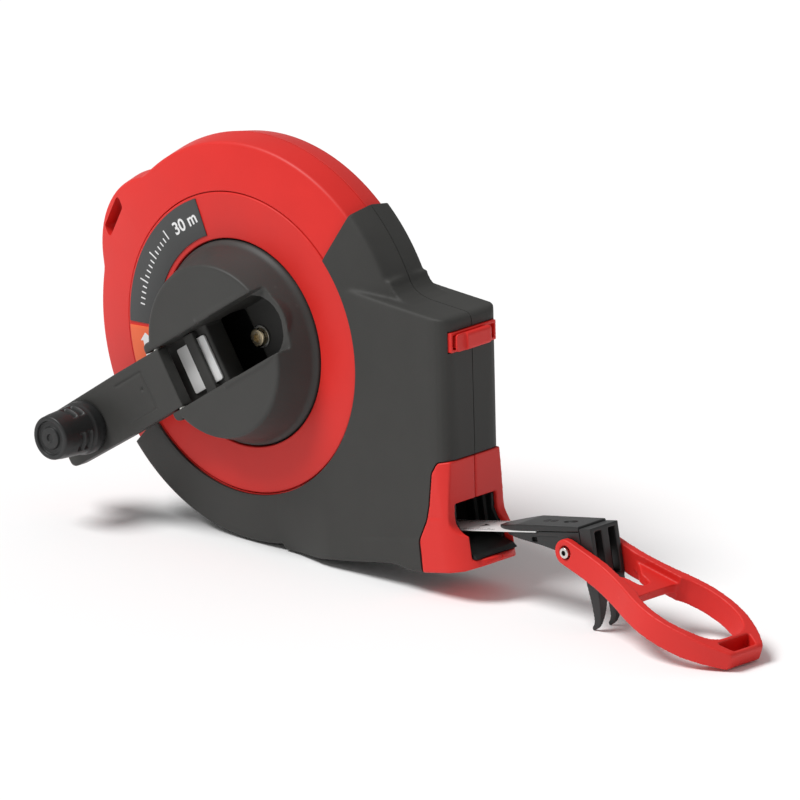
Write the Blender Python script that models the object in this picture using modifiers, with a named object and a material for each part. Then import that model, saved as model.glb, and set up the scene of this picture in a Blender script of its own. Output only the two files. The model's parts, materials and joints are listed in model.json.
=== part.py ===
"""Closed-case surveyor's tape reel: folding crank, reel, lock slide, tape, hook block and pull handle.

Everything is drawn in a drawing frame in millimetres, with the reel axis on Y, the crank on the -Y side,
+X towards the tape outlet and Z up from the foot.  The empty "stand" holds the whole assembly and tips it
nose-up until the drum, the two claws and the pull handle all rest on the floor at z = 0.
"""
import math

import bmesh
import bpy
from mathutils import Matrix, Vector

MM = 0.001

# ---- driving dimensions (mm, degrees) ----
GAP = 0.3                    # running and parting clearance between neighbours
NOSE_UP = 11.0               # tip of the whole reel when it rests on drum and claws
ROUND_STEPS = 64             # facets on the big turned parts

RING_OUT = 48.2              # visible ring plate
RING_HOLE = 33.4
RING_FACE = 12.5
FLOOR_FACE = 10.9            # recess floor under the ring plate
CONE_TOP = 12.2              # drum side next to the ring
CREASE_R = 63.3
CREASE_H = 8.3
DRUM_R = 65.0
BORE_R = 61.6                # inside of the drum
BORE_H = 7.9
JACKET_H = 13.4              # half thickness over the jackets
JACKET_CREASE_R = 65.3
JACKET_R = 67.0
HALF_SPLIT = 0.15            # each half stops this far from the seam
PAST_SEAM = 3.0              # halves are drawn past the seam and cut back to it

COIL_IN = 33.8
COIL_OUT = 59.4
TAPE_HALF = 6.5
TAPE_Z = -60.0
TAPE_THICK = 0.4
TAPE_REAR = 20.0
FLANGE_R = 60.4

FOOT_Z = -72.3
BAND_Z = -37.2               # top of the red nose
MOUTH_TOP = -51.0
MOUTH_HALF = 9.6
NOSE_X = 74.5                # centre of the rounded nose in plan
NOSE_LONG = 12.8
NOSE_HALF = 13.6
FRONT_TOP = (88.4, 4.6)      # three points down the sloping front face
FRONT_BAND = (81.5, BAND_Z)
FRONT_MOUTH = (79.2, MOUTH_TOP)
REST_R = 66.0                # the drum rests on a small flat at this radius
EYE_ANGLE = 143.5            # lanyard eye in the rear lug
EYE_R = 65.2

HUB_DISC_R = 27.4
HUB_BASE_R = 32.9
HUB_FACE = 25.9
HUB_BACK = 1.0
POCKET_HALF = 10.25
POCKET_END = 28.25
POCKET_FLOOR = 3.3
CHANNEL_FLOOR = 17.2
CRANK_ANGLE = 202.6          # direction of the unfolded crank
HINGE_R = 24.3
HINGE_H = 23.6
ARM_HALF_T = 2.3
ARM_HALF_W = 9.8
ARM_END_R = 78.0
KNOB_R = 64.2
KNOB_LONG = 17.5
PIN_R = 1.3
PIN_HALF = 13.0

RIVET_X = 122.9
RIVET_Z = -65.7
BLOCK_REAR = 89.0
PLATE_BACK = 127.6
PLATE_FRONT = 132.4
CLAW_TIP_Z = -91.6
HANDLE_DROP = 29.2
HANDLE_LONG = 71.5
HANDLE_HALF_Z = 4.2

STAND = None
PIVOT_AT = {}


# ---- plumbing ----
def clear_scene():
    for obj in list(bpy.data.objects):
        bpy.data.objects.remove(obj, do_unlink=True)


def new_collection(name):
    collection = bpy.data.collections.new(name)
    bpy.context.scene.collection.children.link(collection)
    return collection


def material(name, color, roughness, metallic=0.0):
    mat = bpy.data.materials.new(name)
    mat.use_nodes = True
    shader = mat.node_tree.nodes["Principled BSDF"]
    shader.inputs["Base Color"].default_value = (*color, 1.0)
    shader.inputs["Roughness"].default_value = roughness
    shader.inputs["Metallic"].default_value = metallic
    mat.diffuse_color = (*color, 1.0)
    return mat


def place(obj, parent=None, cutter=False):
    """Link a part or a cutter and hang it on its parent, keeping the drawing frame."""
    (CUTTERS if cutter else PARTS).objects.link(obj)
    obj.parent = parent or STAND
    if parent:
        obj.matrix_parent_inverse = Matrix.Translation(-PIVOT_AT[parent.name])
    if cutter:
        obj.hide_render = True
        obj.display_type = "WIRE"
        obj.hide_viewport = False
    return obj


def pivot(name, point, parent=None):
    """Empty on a joint's axis, at a point of the drawing frame."""
    empty = bpy.data.objects.new(name, None)
    empty.empty_display_size = 0.01
    PARTS.objects.link(empty)
    PIVOT_AT[name] = Vector(point) * MM
    empty.parent = parent or STAND
    empty.location = PIVOT_AT[name] - (PIVOT_AT[parent.name] if parent else Vector())
    return empty


# Drawings are made in a sheet whose x and y are the drawing frame's X and Z,
# and whose z comes out towards the crank side, which is -Y.
SHEET = Matrix.Rotation(math.radians(90), 4, "X")


def finish(obj, mat, sharp=35.0):
    obj.data.materials.clear()
    obj.data.materials.append(mat)
    obj.data.shade_smooth()
    obj.data.set_sharp_from_angle(angle=math.radians(sharp))
    return obj


def turned(name, profile, mat=None, side=1, steps=ROUND_STEPS, centre=(0, 0), parent=None, cutter=False):
    """Closed (radius, height) loop swept about the reel axis; side 1 is the crank side, -1 the other."""
    area = sum(a[0] * b[1] - b[0] * a[1] for a, b in zip(profile, profile[1:] + profile[:1]))
    points = list(reversed(profile)) if area > 0 else list(profile)
    on_axis = [i for i, p in enumerate(points) if p[0] == 0]
    closed = not on_axis
    if on_axis:
        while not (points[0][0] == 0 and points[-1][0] == 0):
            points = points[1:] + points[:1]
    mesh = bpy.data.meshes.new(name)
    edges = [(i, i + 1) for i in range(len(points) - 1)]
    if closed:
        edges.append((len(points) - 1, 0))
    mesh.from_pydata([(r * MM, 0, h * MM) for r, h in points], edges, [])
    obj = bpy.data.objects.new(name, mesh)
    screw = obj.modifiers.new("Sweep", "SCREW")
    screw.steps = screw.render_steps = steps
    screw.use_merge_vertices = True
    screw.merge_threshold = 0.00001
    obj = made_mesh(obj, name)
    spin = SHEET if side == 1 else Matrix.Rotation(math.radians(-90), 4, "X")
    obj.data.transform(Matrix.Translation((centre[0] * MM, 0, centre[1] * MM)) @ spin)
    if mat:
        finish(obj, mat)
    return place(obj, parent, cutter)


def made_mesh(source, name):
    """The evaluated mesh of a curve or a modifier stack as a plain mesh object."""
    bpy.context.scene.collection.objects.link(source)
    depsgraph = bpy.context.evaluated_depsgraph_get()
    mesh = bpy.data.meshes.new_from_object(source.evaluated_get(depsgraph))
    bpy.data.objects.remove(source, do_unlink=True)
    sheet = bmesh.new()
    sheet.from_mesh(mesh)
    bmesh.ops.remove_doubles(sheet, verts=sheet.verts, dist=0.000005)
    bmesh.ops.recalc_face_normals(sheet, faces=sheet.faces)
    sheet.to_mesh(mesh)
    sheet.free()
    mesh.name = name
    return bpy.data.objects.new(name, mesh)


def plate(name, outline, low, high, mat=None, turn=SHEET, bevel=0.0, segments=2, parent=None, cutter=False,
          limit=30.0):
    """Flat outline in the sheet, standing from low to high along the sheet's z (towards the crank side)."""
    curve = bpy.data.curves.new(name, "CURVE")
    curve.dimensions = "2D"
    curve.fill_mode = "BOTH"
    curve.extrude = (high - low) / 2 * MM
    spline = curve.splines.new("POLY")
    spline.points.add(len(outline) - 1)
    for point, (x, y) in zip(spline.points, outline):
        point.co = (x * MM, y * MM, 0, 1)
    spline.use_cyclic_u = True
    obj = made_mesh(bpy.data.objects.new(name, curve), name)
    obj.data.transform(turn @ Matrix.Translation((0, 0, (high + low) / 2 * MM)))
    if bevel:
        soften(obj, bevel, segments, limit)
    if mat:
        finish(obj, mat)
    return place(obj, parent, cutter)


def soften(obj, width, segments=2, limit=30.0):
    mod = obj.modifiers.new("Soft edges", "BEVEL")
    mod.width = width * MM
    mod.segments = segments
    mod.limit_method = "ANGLE"
    mod.angle_limit = math.radians(limit)
    mod.use_clamp_overlap = True


def combine(obj, other, operation):
    mod = obj.modifiers.new(operation.title(), "BOOLEAN")
    mod.operation = operation
    mod.solver = "EXACT"
    mod.object = other
    return obj


def arc(cx, cy, radius, start, end, steps, radius_y=None):
    ry = radius_y or radius
    angles = [math.radians(start + (end - start) * i / steps) for i in range(steps + 1)]
    return [(cx + radius * math.cos(a), cy + ry * math.sin(a)) for a in angles]


def slot_outline(cx, cy, length, width, angle, steps=8):
    """A round-ended slot, with its long axis at the angle."""
    a = math.radians(angle)
    dx, dy = (length - width) / 2 * math.cos(a), (length - width) / 2 * math.sin(a)
    return (arc(cx + dx, cy + dy, width / 2, angle - 90, angle + 90, steps)
            + arc(cx - dx, cy - dy, width / 2, angle + 90, angle + 270, steps))


def span(side, inner, outer):
    """Sheet heights of something from |Y| = inner to outer on one side of the seam."""
    return (inner, outer) if side == 1 else (-outer, -inner)


def round_bar(name, radius, low, high, centre, mat=None, steps=20, bore=0.0, parent=None, cutter=False):
    if bore:
        profile = [(bore, high), (radius, high), (radius, low), (bore, low)]
    else:
        profile = [(0, high), (radius, high), (radius, low), (0, low)]
    return turned(name, profile, mat, 1, steps, centre, parent, cutter)


def across(angle, radius):
    a = math.radians(angle)
    return radius * math.cos(a), radius * math.sin(a)


# ---- case ----
def drum_profile(grow=0.0):
    return [(CREASE_R - 1.4, CREASE_H + 0.35 + grow), (CREASE_R - 0.4 + grow, CREASE_H - 0.15 + grow),
            (CREASE_R + 0.25 + grow, CREASE_H - 1.1), (DRUM_R + grow, HALF_SPLIT), (DRUM_R + grow, -PAST_SEAM)]


def case_half(side, hub_hole):
    name = "case_left" if side == 1 else "case_right"
    hole = RING_HOLE + 0.2 if hub_hole else 7.8
    profile = [(hole, FLOOR_FACE), (RING_OUT + GAP, FLOOR_FACE), (RING_OUT + GAP, CONE_TOP)]
    profile += drum_profile()
    profile += [(BORE_R, -PAST_SEAM), (BORE_R, BORE_H - 1.2), (BORE_R - 1.2, BORE_H), (hole, BORE_H)]
    shell = turned(name, profile, RED, side)
    lug = plate("lug_shape_" + name, lug_outline(), *span(side, -PAST_SEAM - 2, 7.4), bevel=1.2, cutter=True)
    lug_clear = turned("lug_clear_" + name, [(0, 9), (BORE_R + 0.7, 9), (BORE_R + 0.7, -9), (0, -9)], cutter=True)
    combine(lug, lug_clear, "DIFFERENCE")
    combine(shell, lug, "UNION")
    eye = plate("eye_cut_" + name, slot_outline(*across(EYE_ANGLE, EYE_R), 12.5, 4.4, EYE_ANGLE - 90), -12, 12,
                cutter=True)
    combine(shell, eye, "DIFFERENCE")
    combine(shell, TAPE_WAY, "DIFFERENCE")
    combine(shell, seam_cut(side), "DIFFERENCE")
    return shell


def seam_cut(side):
    """Takes off everything past the seam of this half."""
    outline = [(-120, -120), (160, -120), (160, 90), (-120, 90)]
    return plate("seam_cut_%d" % side, outline, *span(side, -12, HALF_SPLIT), cutter=True)


def lug_outline():
    """Lanyard lug: a low hump on the rear shoulder of the drum."""
    hump = [(160, 62.5), (157, 66.4), (152, 69.2), (147, 70.8), (142, 71.3), (137, 70.9), (132, 68.9),
            (127.5, 65.4), (124, 62.5)]
    return [across(a, r) for a, r in hump] + [across(a, 58.0) for a in (128, 142, 156)]


def box_outline():
    """Side view of the front box with the flat belly that runs into the foot."""
    belly = [(2, -67.0), (10, -68.0), (20, -69.0), (32, -69.6), (50, -69.8), (54, -70.4), (58.5, -71.9),
             (62, FOOT_Z), (63.9, FOOT_Z)]
    nose_side = [(64.6, -61.8), (68.8, -55.7), (70.6, -51.0), (73.6, -42.8), (75.0, -39.6), (78.0, BAND_Z + GAP)]
    front = [(FRONT_BAND[0], BAND_Z + GAP), FRONT_TOP, (87.6, 7.0), (85.6, 8.2)]
    top = [(66.2, 14.0), (63.6, 17.4), (50, 20), (30, 10), (10, -40)]
    return belly + nose_side + front + top


def jacket_region():
    """Part of the drum that the dark jacket wraps, seen from the side."""
    wrap = arc(0, 0, 82, -149, 41.4, 24)
    inner = [(36.9, 21.7)] + arc(0, 0, 43, 20, -149, 12)
    return wrap + inner


def jacket(side):
    name = "jacket_left" if side == 1 else "jacket_right"
    skin = [(44, JACKET_H), (49.6, JACKET_H), (JACKET_CREASE_R - 1.3, 9.7), (JACKET_CREASE_R, 8.7),
            (JACKET_CREASE_R + 0.5, 7.4), (JACKET_R, HALF_SPLIT), (JACKET_R, -PAST_SEAM), (44, -PAST_SEAM)]
    body = turned(name, skin, DARK, side)
    region = plate("wrap_region_" + name, jacket_region(), -20, 20, cutter=True)
    combine(body, region, "INTERSECT")
    box = plate("box_shape_" + name, box_outline(), *span(side, -PAST_SEAM - 3, JACKET_H), bevel=1.8, cutter=True,
                limit=50.0)
    combine(box, box_hollow(side), "DIFFERENCE")
    combine(body, box, "UNION")
    inner = [(0, 20), (RING_OUT + 0.6, 20), (RING_OUT + 0.6, CONE_TOP + GAP)] + drum_profile(GAP)
    inner += [(DRUM_R + GAP, -7), (0, -7)]
    combine(body, turned("drum_clear_" + name, inner, side=side, cutter=True), "DIFFERENCE")
    combine(body, seam_cut(side), "DIFFERENCE")
    combine(body, NOSE_CLEAR, "DIFFERENCE")
    combine(body, MOUTH_POCKET, "DIFFERENCE")
    combine(body, TAPE_WAY, "DIFFERENCE")
    combine(body, LOCK_WAY, "DIFFERENCE")
    combine(body, REST_FLAT, "DIFFERENCE")
    return body


def box_hollow(side):
    outline = [(69.5, 10.2), (85.2, 5.0), (79.4, -34.4), (70.0, -36.5), (62, -33), (69, -15)]
    return plate("box_hollow_%d" % side, outline, *span(side, -6, JACKET_H - 2.6), cutter=True)


def nose_outline(grow=0.0):
    """Side view of the red nose: front band, mouth cheeks and the toe that carries the landing pad."""
    back = [(64.9, FOOT_Z), (65.5, -61.8), (69.7, -55.7), (71.4, -51.0), (74.4, -42.8), (75.7, -39.9), (78.4, BAND_Z)]
    front = [FRONT_BAND, FRONT_MOUTH, (78.6, -56.0), (79.6, -58.6), (82.0, -60.6), (86.0, -62.0), (88.2, -62.6),
             (88.2, FOOT_Z)]
    if grow:
        back = [(x - grow, z + (grow if i == len(back) - 1 else 0)) for i, (x, z) in enumerate(back)]
        front = [(x + 3, z + (grow if i == 0 else 0)) for i, (x, z) in enumerate(front)]
        front[-1] = (front[-1][0], FOOT_Z - 2)
        back[0] = (back[0][0], FOOT_Z - 2)
    return back + front


def nose(side):
    name = "nose_left" if side == 1 else "nose_right"
    body = plate(name, nose_outline(), *span(side, HALF_SPLIT, NOSE_HALF), RED)
    combine(body, NOSE_PLAN, "INTERSECT")
    soften(body, 0.9, 2, 40.0)
    combine(body, MOUTH_WAY, "DIFFERENCE")
    return body


def shared_cutters():
    global TAPE_WAY, LOCK_WAY, NOSE_CLEAR, NOSE_PLAN, MOUTH_WAY, MOUTH_POCKET, REST_FLAT
    funnel = [(2, TAPE_Z - 1.3), (56, TAPE_Z - 1.3), (70, TAPE_Z - 2.0), (70, TAPE_Z + 2.6), (60, TAPE_Z + 2.4),
              (54, TAPE_Z + 1.2), (2, TAPE_Z + 1.2)]
    TAPE_WAY = plate("tape_way", funnel, -TAPE_HALF - 0.5, TAPE_HALF + 0.5, cutter=True)
    LOCK_WAY = plate("lock_way", lock_tray_outline(0.3), -10.6, 10.6, cutter=True)
    NOSE_CLEAR = plate("nose_clear", nose_outline(GAP), -20, 20, cutter=True)
    NOSE_PLAN = plate("nose_plan", [(40, -NOSE_HALF)] + arc(NOSE_X, 0, NOSE_LONG, -90, 90, 16, NOSE_HALF)
                      + [(40, NOSE_HALF)], -90, -20, turn=Matrix.Identity(4), cutter=True)
    way = [(60, -61.4), (66, -61.4), (66, -64.0), (77.6, -66.8), (83.6, -69.6), (84.6, -69.4), (84.6, -66.6),
           (92, -66.6), (92, MOUTH_TOP), (60, MOUTH_TOP)]
    pocket = [(65.9, -64.4), (72, -65.6), (74, -50.6), (65.9, -50.6)]
    MOUTH_POCKET = plate("mouth_pocket", pocket, -MOUTH_HALF - GAP, MOUTH_HALF + GAP, cutter=True)
    MOUTH_WAY = plate("mouth_way", way, -MOUTH_HALF, MOUTH_HALF, cutter=True)
    tilt = math.radians(NOSE_UP)
    flat = [(-40, -REST_R), (40, -REST_R), (40, -90), (-40, -90)]
    turn_back = [(x * math.cos(tilt) + z * math.sin(tilt), -x * math.sin(tilt) + z * math.cos(tilt)) for x, z in flat]
    REST_FLAT = plate("rest_flat", turn_back, -20, 20, cutter=True)


def mouth_liner():
    """Black insert: floor that dips into the toe as a landing pad, and two ribbed cheeks."""
    floor = [(66.4, -62.2), (77.8, -64.8), (83.9, -67.6), (84.2, -69.1), (83.5, -69.2), (77.5, -66.4), (66.4, -63.7)]
    liner = plate("mouth_liner", floor, -MOUTH_HALF + GAP, MOUTH_HALF - GAP, BLACK)
    cheek = [(66.4, MOUTH_TOP - GAP), (78.2, MOUTH_TOP - GAP), (77.6, -56.2), (78.8, -59.4), (80.2, -61.2),
             (80.2, -66.2), (77.8, -65.2), (66.4, -62.6)]
    for low, high in ((-MOUTH_HALF + GAP, -MOUTH_HALF + 1.5), (MOUTH_HALF - 1.5, MOUTH_HALF - GAP)):
        wall = plate("cheek_%d" % (low > 0), cheek, low, high, cutter=True)
        combine(liner, wall, "UNION")
    rib = [(68.5, MOUTH_TOP - GAP), (70.0, MOUTH_TOP - GAP), (70.0, -62.9), (68.5, -62.6)]
    for shift in (0.0, 3.0):
        for low, high in ((-MOUTH_HALF + 1.0, -MOUTH_HALF + 2.2), (MOUTH_HALF - 2.2, MOUTH_HALF - 1.0)):
            bar = plate("rib_%d_%d" % (shift, low > 0), [(x + shift, z) for x, z in rib], low, high, cutter=True)
            combine(liner, bar, "UNION")
    return liner


def ring_plates():
    ring = [(RING_HOLE, RING_FACE), (RING_OUT - 0.6, RING_FACE), (RING_OUT, RING_FACE - 0.5),
            (RING_OUT, FLOOR_FACE + GAP), (RING_HOLE, FLOOR_FACE + GAP)]
    left = turned("ring_plate_left", ring, RED, 1)
    disc = [(0, RING_FACE - 0.6), (20, RING_FACE - 0.6), (21, RING_FACE), (RING_OUT - 0.6, RING_FACE),
            (RING_OUT, RING_FACE - 0.5), (RING_OUT, FLOOR_FACE + GAP), (0, FLOOR_FACE + GAP)]
    right = turned("side_disc_right", disc, RED, -1)
    return left, right


def labels():
    """Two printed plastic labels that lie on the ring."""
    dark = arc(0, 0, 47.4, 103.5, 172, 18) + arc(0, 0, 35.2, 172, 103.5, 14)
    plate("label_dark", dark, RING_FACE + 0.05, RING_FACE + 0.3, LABEL_DARK)
    orange = arc(0, 0, 47.4, 173.5, 194, 6) + arc(0, 0, 35.6, 194, 173.5, 5)
    plate("label_orange", orange, RING_FACE + 0.05, RING_FACE + 0.3, LABEL_ORANGE)


# ---- lock slide ----
def along_front(z, out=0.0):
    """Point on the sloping front face at height z, moved out of the face."""
    slope = (FRONT_TOP[0] - FRONT_MOUTH[0]) / (FRONT_TOP[1] - FRONT_MOUTH[1])
    lean = math.atan(slope)
    x = FRONT_MOUTH[0] + (z - FRONT_MOUTH[1]) * slope
    return x + out * math.cos(lean), z - out * math.sin(lean)


def face_block(low_z, high_z, inner, outer):
    return [along_front(low_z, inner), along_front(low_z, outer), along_front(high_z, outer),
            along_front(high_z, inner)]


def lock_tray_outline(grow):
    return face_block(-2.6 - grow, 3.7 + grow, -6.0, 3.0)


def lock_parts():
    tray = plate("lock_tray", face_block(-2.6, 3.7, -2.3, 0.5), -10.3, 10.3, RED)
    well = plate("lock_well", face_block(-1.7, 2.8, -1.2, 3.0), -9.5, 9.5, cutter=True)
    hole = plate("lock_hole", face_block(-0.9, 2.0, -6.0, 3.0), -5.5, 5.5, cutter=True)
    combine(tray, well, "DIFFERENCE")
    combine(tray, hole, "DIFFERENCE")
    pivot_lock = pivot("lock_pivot", (along_front(0.5)[0], 0, along_front(0.5)[1]))
    slider = plate("lock_slider", face_block(-1.4, 2.5, -0.9, 2.5), -6.2, 9.0, RED, bevel=0.6, parent=pivot_lock)
    step = plate("lock_step", face_block(-3, 4, 1.7, 4.0), -8.0, -2.6, cutter=True)
    combine(slider, step, "DIFFERENCE")
    plate("lock_stem", face_block(-0.6, 1.7, -5.4, -1.2), -2.0, 5.2, BLACK, parent=pivot_lock)


# ---- reel ----
def reel_parts():
    reel = pivot("reel_pivot", (0, 0, 0))
    core = [(31.3, TAPE_HALF + 0.2), (33.4, TAPE_HALF + 0.2), (33.4, -TAPE_HALF - 0.2), (5.0, -TAPE_HALF - 0.2),
            (5.0, -9.4), (0, -9.4), (0, -1.2), (6.0, -1.2), (6.0, -4.0), (31.3, -4.0)]
    turned("spool_core", core, BLACK, 1, 48, parent=reel)
    for name, low in (("flange_left", TAPE_HALF + 0.5), ("flange_right", -TAPE_HALF - 1.2)):
        flange = [(31.3, low + 0.7), (FLANGE_R, low + 0.7), (FLANGE_R, low), (31.3, low)]
        turned(name, flange, BLACK, 1, 48, parent=reel)
    coil = [(COIL_IN, TAPE_HALF), (COIL_OUT, TAPE_HALF), (COIL_OUT, -TAPE_HALF), (COIL_IN, -TAPE_HALF)]
    turned("tape_coil", coil, TAPE, 1, 64, parent=reel)
    turned("journal_bush", [(5.3, 10.0), (7.5, 10.0), (7.5, 7.3), (5.3, 7.3)], WHITE, -1, 24)
    hub(reel)
    return reel


def crank_frame(along, side_way):
    """Point in the sheet from distances along and across the unfolded crank direction."""
    a = math.radians(CRANK_ANGLE)
    return along * math.cos(a) - side_way * math.sin(a), along * math.sin(a) + side_way * math.cos(a)


def crank_box(along_low, along_high, half_wide):
    return [crank_frame(along_low, -half_wide), crank_frame(along_high, -half_wide),
            crank_frame(along_high, half_wide), crank_frame(along_low, half_wide)]


def pocket_shape(half_wide, end, start):
    """Round-ended pocket: the round end points away from the crank."""
    rounded = [(-math.cos(math.radians(t)), math.sin(math.radians(t))) for t in range(-90, 91, 15)]
    far = [crank_frame(-(end - half_wide) + half_wide * x, half_wide * y) for x, y in rounded]
    return [crank_frame(start, -half_wide)] + far + [crank_frame(start, half_wide)]


def hub(reel):
    """Domed crank hub: shallow channel for the folded arm and a deep pocket for the knob."""
    dome = [(0, HUB_FACE), (HUB_DISC_R - 0.8, HUB_FACE), (HUB_DISC_R + 0.2, HUB_FACE - 0.6),
            (HUB_BASE_R - 1.6, 14.2), (HUB_BASE_R, 12.6), (HUB_BASE_R, 8.2), (30.9, 8.2), (30.9, HUB_BACK),
            (28.6, HUB_BACK), (28.6, 13.0), (25.0, 22.6), (0, 22.6)]
    body = turned("crank_hub", dome, DARK, 1, 48, parent=reel)
    lug = plate("pocket_lug", pocket_shape(POCKET_HALF + 2.0, POCKET_END + 2.2, 2), HUB_BACK, HUB_FACE + 0.8,
                bevel=1.0, cutter=True, limit=50.0)
    combine(body, lug, "UNION")
    ears = plate("hinge_ears", crank_box(10, HINGE_R + 4.0, POCKET_HALF + 3.2), 14.0, HUB_FACE, bevel=1.4,
                 cutter=True, limit=50.0)
    combine(body, ears, "UNION")
    sill = plate("channel_body", crank_box(0, 25.5, POCKET_HALF + 1.2), 9.5, HUB_FACE - 1, cutter=True)
    combine(body, sill, "UNION")
    channel = plate("channel_cut", crank_box(-10, 60, POCKET_HALF), CHANNEL_FLOOR, 40, cutter=True)
    combine(body, channel, "DIFFERENCE")
    pocket = plate("pocket_cut", pocket_shape(POCKET_HALF, POCKET_END, 7.0), POCKET_FLOOR, 40, cutter=True)
    combine(body, pocket, "DIFFERENCE")
    rest = plate("folded_arm_cut", crank_box(-45, -5, POCKET_HALF + GAP), HINGE_H - ARM_HALF_T - GAP, 40,
                 cutter=True)
    combine(body, rest, "DIFFERENCE")
    bore = round_bar("screw_bore", 1.9, -5, 12, (0, 0), steps=16, cutter=True)
    combine(body, bore, "DIFFERENCE")
    pin = plate("pin_cut", arc(0, 0, PIN_R + 0.2, 0, 330, 11), -PIN_HALF, PIN_HALF, turn=pin_turn(), cutter=True)
    combine(body, pin, "DIFFERENCE")
    leaf = crank_box(9.0, 22.6, 7.6)
    plate("detent_leaf", leaf, CHANNEL_FLOOR + 0.1, CHANNEL_FLOOR + 0.8, WHITE, parent=reel)
    bar = crank_box(12.6, 15.6, POCKET_HALF - GAP)
    bridge = plate("hub_bridge", bar, CHANNEL_FLOOR + 1.1, CHANNEL_FLOOR + 2.3, DARK, parent=reel)
    feet = plate("bridge_feet", crank_box(12.6, 15.6, POCKET_HALF - GAP), CHANNEL_FLOOR + 0.1, CHANNEL_FLOOR + 2.3,
                 cutter=True)
    middle = plate("bridge_gap", crank_box(5, 20, 8.2), CHANNEL_FLOOR - 1, CHANNEL_FLOOR + 1.1, cutter=True)
    combine(feet, middle, "DIFFERENCE")
    combine(bridge, feet, "UNION")
    head = [(0, 5.6), (2.6, 5.6), (3.0, 5.2), (3.0, 4.1), (1.6, 4.1), (1.6, -0.8), (0, -0.8)]
    screw = turned("hub_screw", head, BRASS, 1, 24, parent=reel)
    star = [(1.45 * math.cos(math.radians(30 * i)) * (1.0 if i % 2 == 0 else 0.72),
             1.45 * math.sin(math.radians(30 * i)) * (1.0 if i % 2 == 0 else 0.72)) for i in range(12)]
    combine(screw, plate("torx_cut", star, 4.4, 8, cutter=True), "DIFFERENCE")
    turned("hub_washer", [(1.9, 3.9), (3.6, 3.9), (3.6, 3.4), (1.9, 3.4)], STEEL, 1, 24, parent=reel)
    return body


def pin_turn():
    """Places a sheet so that its z runs along the crank's hinge line."""
    along = Vector((*crank_frame(1, 0), 0))
    side = Vector((*crank_frame(0, 1), 0))
    basis = Matrix(((along.x, 0, side.x, 0), (along.y, 0, side.y, 0), (0, 1, 0, 0), (0, 0, 0, 1)))
    shift = Matrix.Translation((along * HINGE_R + Vector((0, 0, HINGE_H))) * MM)
    flip = Matrix(((1, 0, 0, 0), (0, -1, 0, 0), (0, 0, 1, 0), (0, 0, 0, 1)))
    return SHEET @ shift @ basis @ flip


# ---- crank ----
def crank_parts(reel):
    hinge_x, hinge_z = crank_frame(HINGE_R, 0)
    crank = pivot("crank_pivot", (hinge_x, -HINGE_H, hinge_z), reel)
    low, high = HINGE_H - ARM_HALF_T, HINGE_H + ARM_HALF_T
    end = [crank_frame(x, y) for x, y in arc(ARM_END_R - 2.4, ARM_HALF_W - 3.0, 2.4, 90, 0, 4)]
    end_other = [crank_frame(x, -y) for x, y in reversed(arc(ARM_END_R - 2.4, ARM_HALF_W - 3.0, 2.4, 90, 0, 4))]
    outline = [crank_frame(HINGE_R - 2.2, ARM_HALF_W), crank_frame(HINGE_R + 20, ARM_HALF_W)] + end + end_other
    outline += [crank_frame(HINGE_R + 20, -ARM_HALF_W), crank_frame(HINGE_R - 2.2, -ARM_HALF_W)]
    arm = plate("crank_arm", outline, low, high, DARK, bevel=0.8, parent=crank, limit=50.0)
    combine(arm, round_hole("arm_spindle_hole", 2.3, low - 1, high + 1), "DIFFERENCE")
    combine(arm, round_hole("arm_spindle_seat", 4.4, low - 1, low + 1.5), "DIFFERENCE")
    pin_cut = plate("arm_pin_cut", arc(0, 0, PIN_R + GAP, 0, 330, 11), -PIN_HALF, PIN_HALF, turn=pin_turn(),
                    cutter=True)
    combine(arm, pin_cut, "DIFFERENCE")
    panel = plate("arm_panel", crank_box(HINGE_R + 9, KNOB_R - 11, ARM_HALF_W - 2.6), high - 0.4, high + 2,
                  cutter=True)
    raised = plate("arm_panel_core", crank_box(HINGE_R + 10, KNOB_R - 10, ARM_HALF_W - 3.4), high - 1, high + 3,
                   cutter=True)
    combine(panel, raised, "DIFFERENCE")
    combine(arm, panel, "DIFFERENCE")
    plate("hinge_pin", arc(0, 0, PIN_R, 0, 330, 11), -PIN_HALF + 0.2, PIN_HALF - 0.2, STEEL, turn=pin_turn(),
          parent=reel)
    knob_x, knob_z = crank_frame(KNOB_R, 0)
    top = high + KNOB_LONG
    rivet = [(0, high + KNOB_LONG - 3.2), (2.0, high + KNOB_LONG - 3.2), (2.0, low + 1.3), (4.1, low + 1.3),
             (4.1, low + 0.2), (0, low + 0.2)]
    turned("knob_spindle", rivet, STEEL, 1, 20, (knob_x, knob_z), crank)
    knob_pivot = pivot("knob_pivot", (knob_x, -high, knob_z), crank)
    grip = [(2.3, high + GAP), (8.2, high + GAP), (8.5, high + 1.2), (8.4, high + 5.0), (7.7, high + 5.5),
            (7.7, high + 6.3), (8.2, high + 6.9), (8.0, high + 9.2), (7.3, high + 9.7), (7.3, high + 10.5),
            (7.8, high + 11.0), (7.6, high + 13.2), (6.9, high + 13.7), (6.9, high + 14.5), (7.3, high + 15.0),
            (7.0, top - 1.0), (6.0, top), (5.4, top), (5.2, top - 0.9), (3.6, top - 0.9), (3.4, top), (0, top),
            (0, high + KNOB_LONG - 2.8), (2.3, high + KNOB_LONG - 2.8)]
    turned("knob", grip, BLACK, 1, 28, (knob_x, knob_z), knob_pivot)


def round_hole(name, radius, low, high):
    return round_bar(name, radius, low, high, crank_frame(KNOB_R, 0), steps=20, cutter=True)


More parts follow.
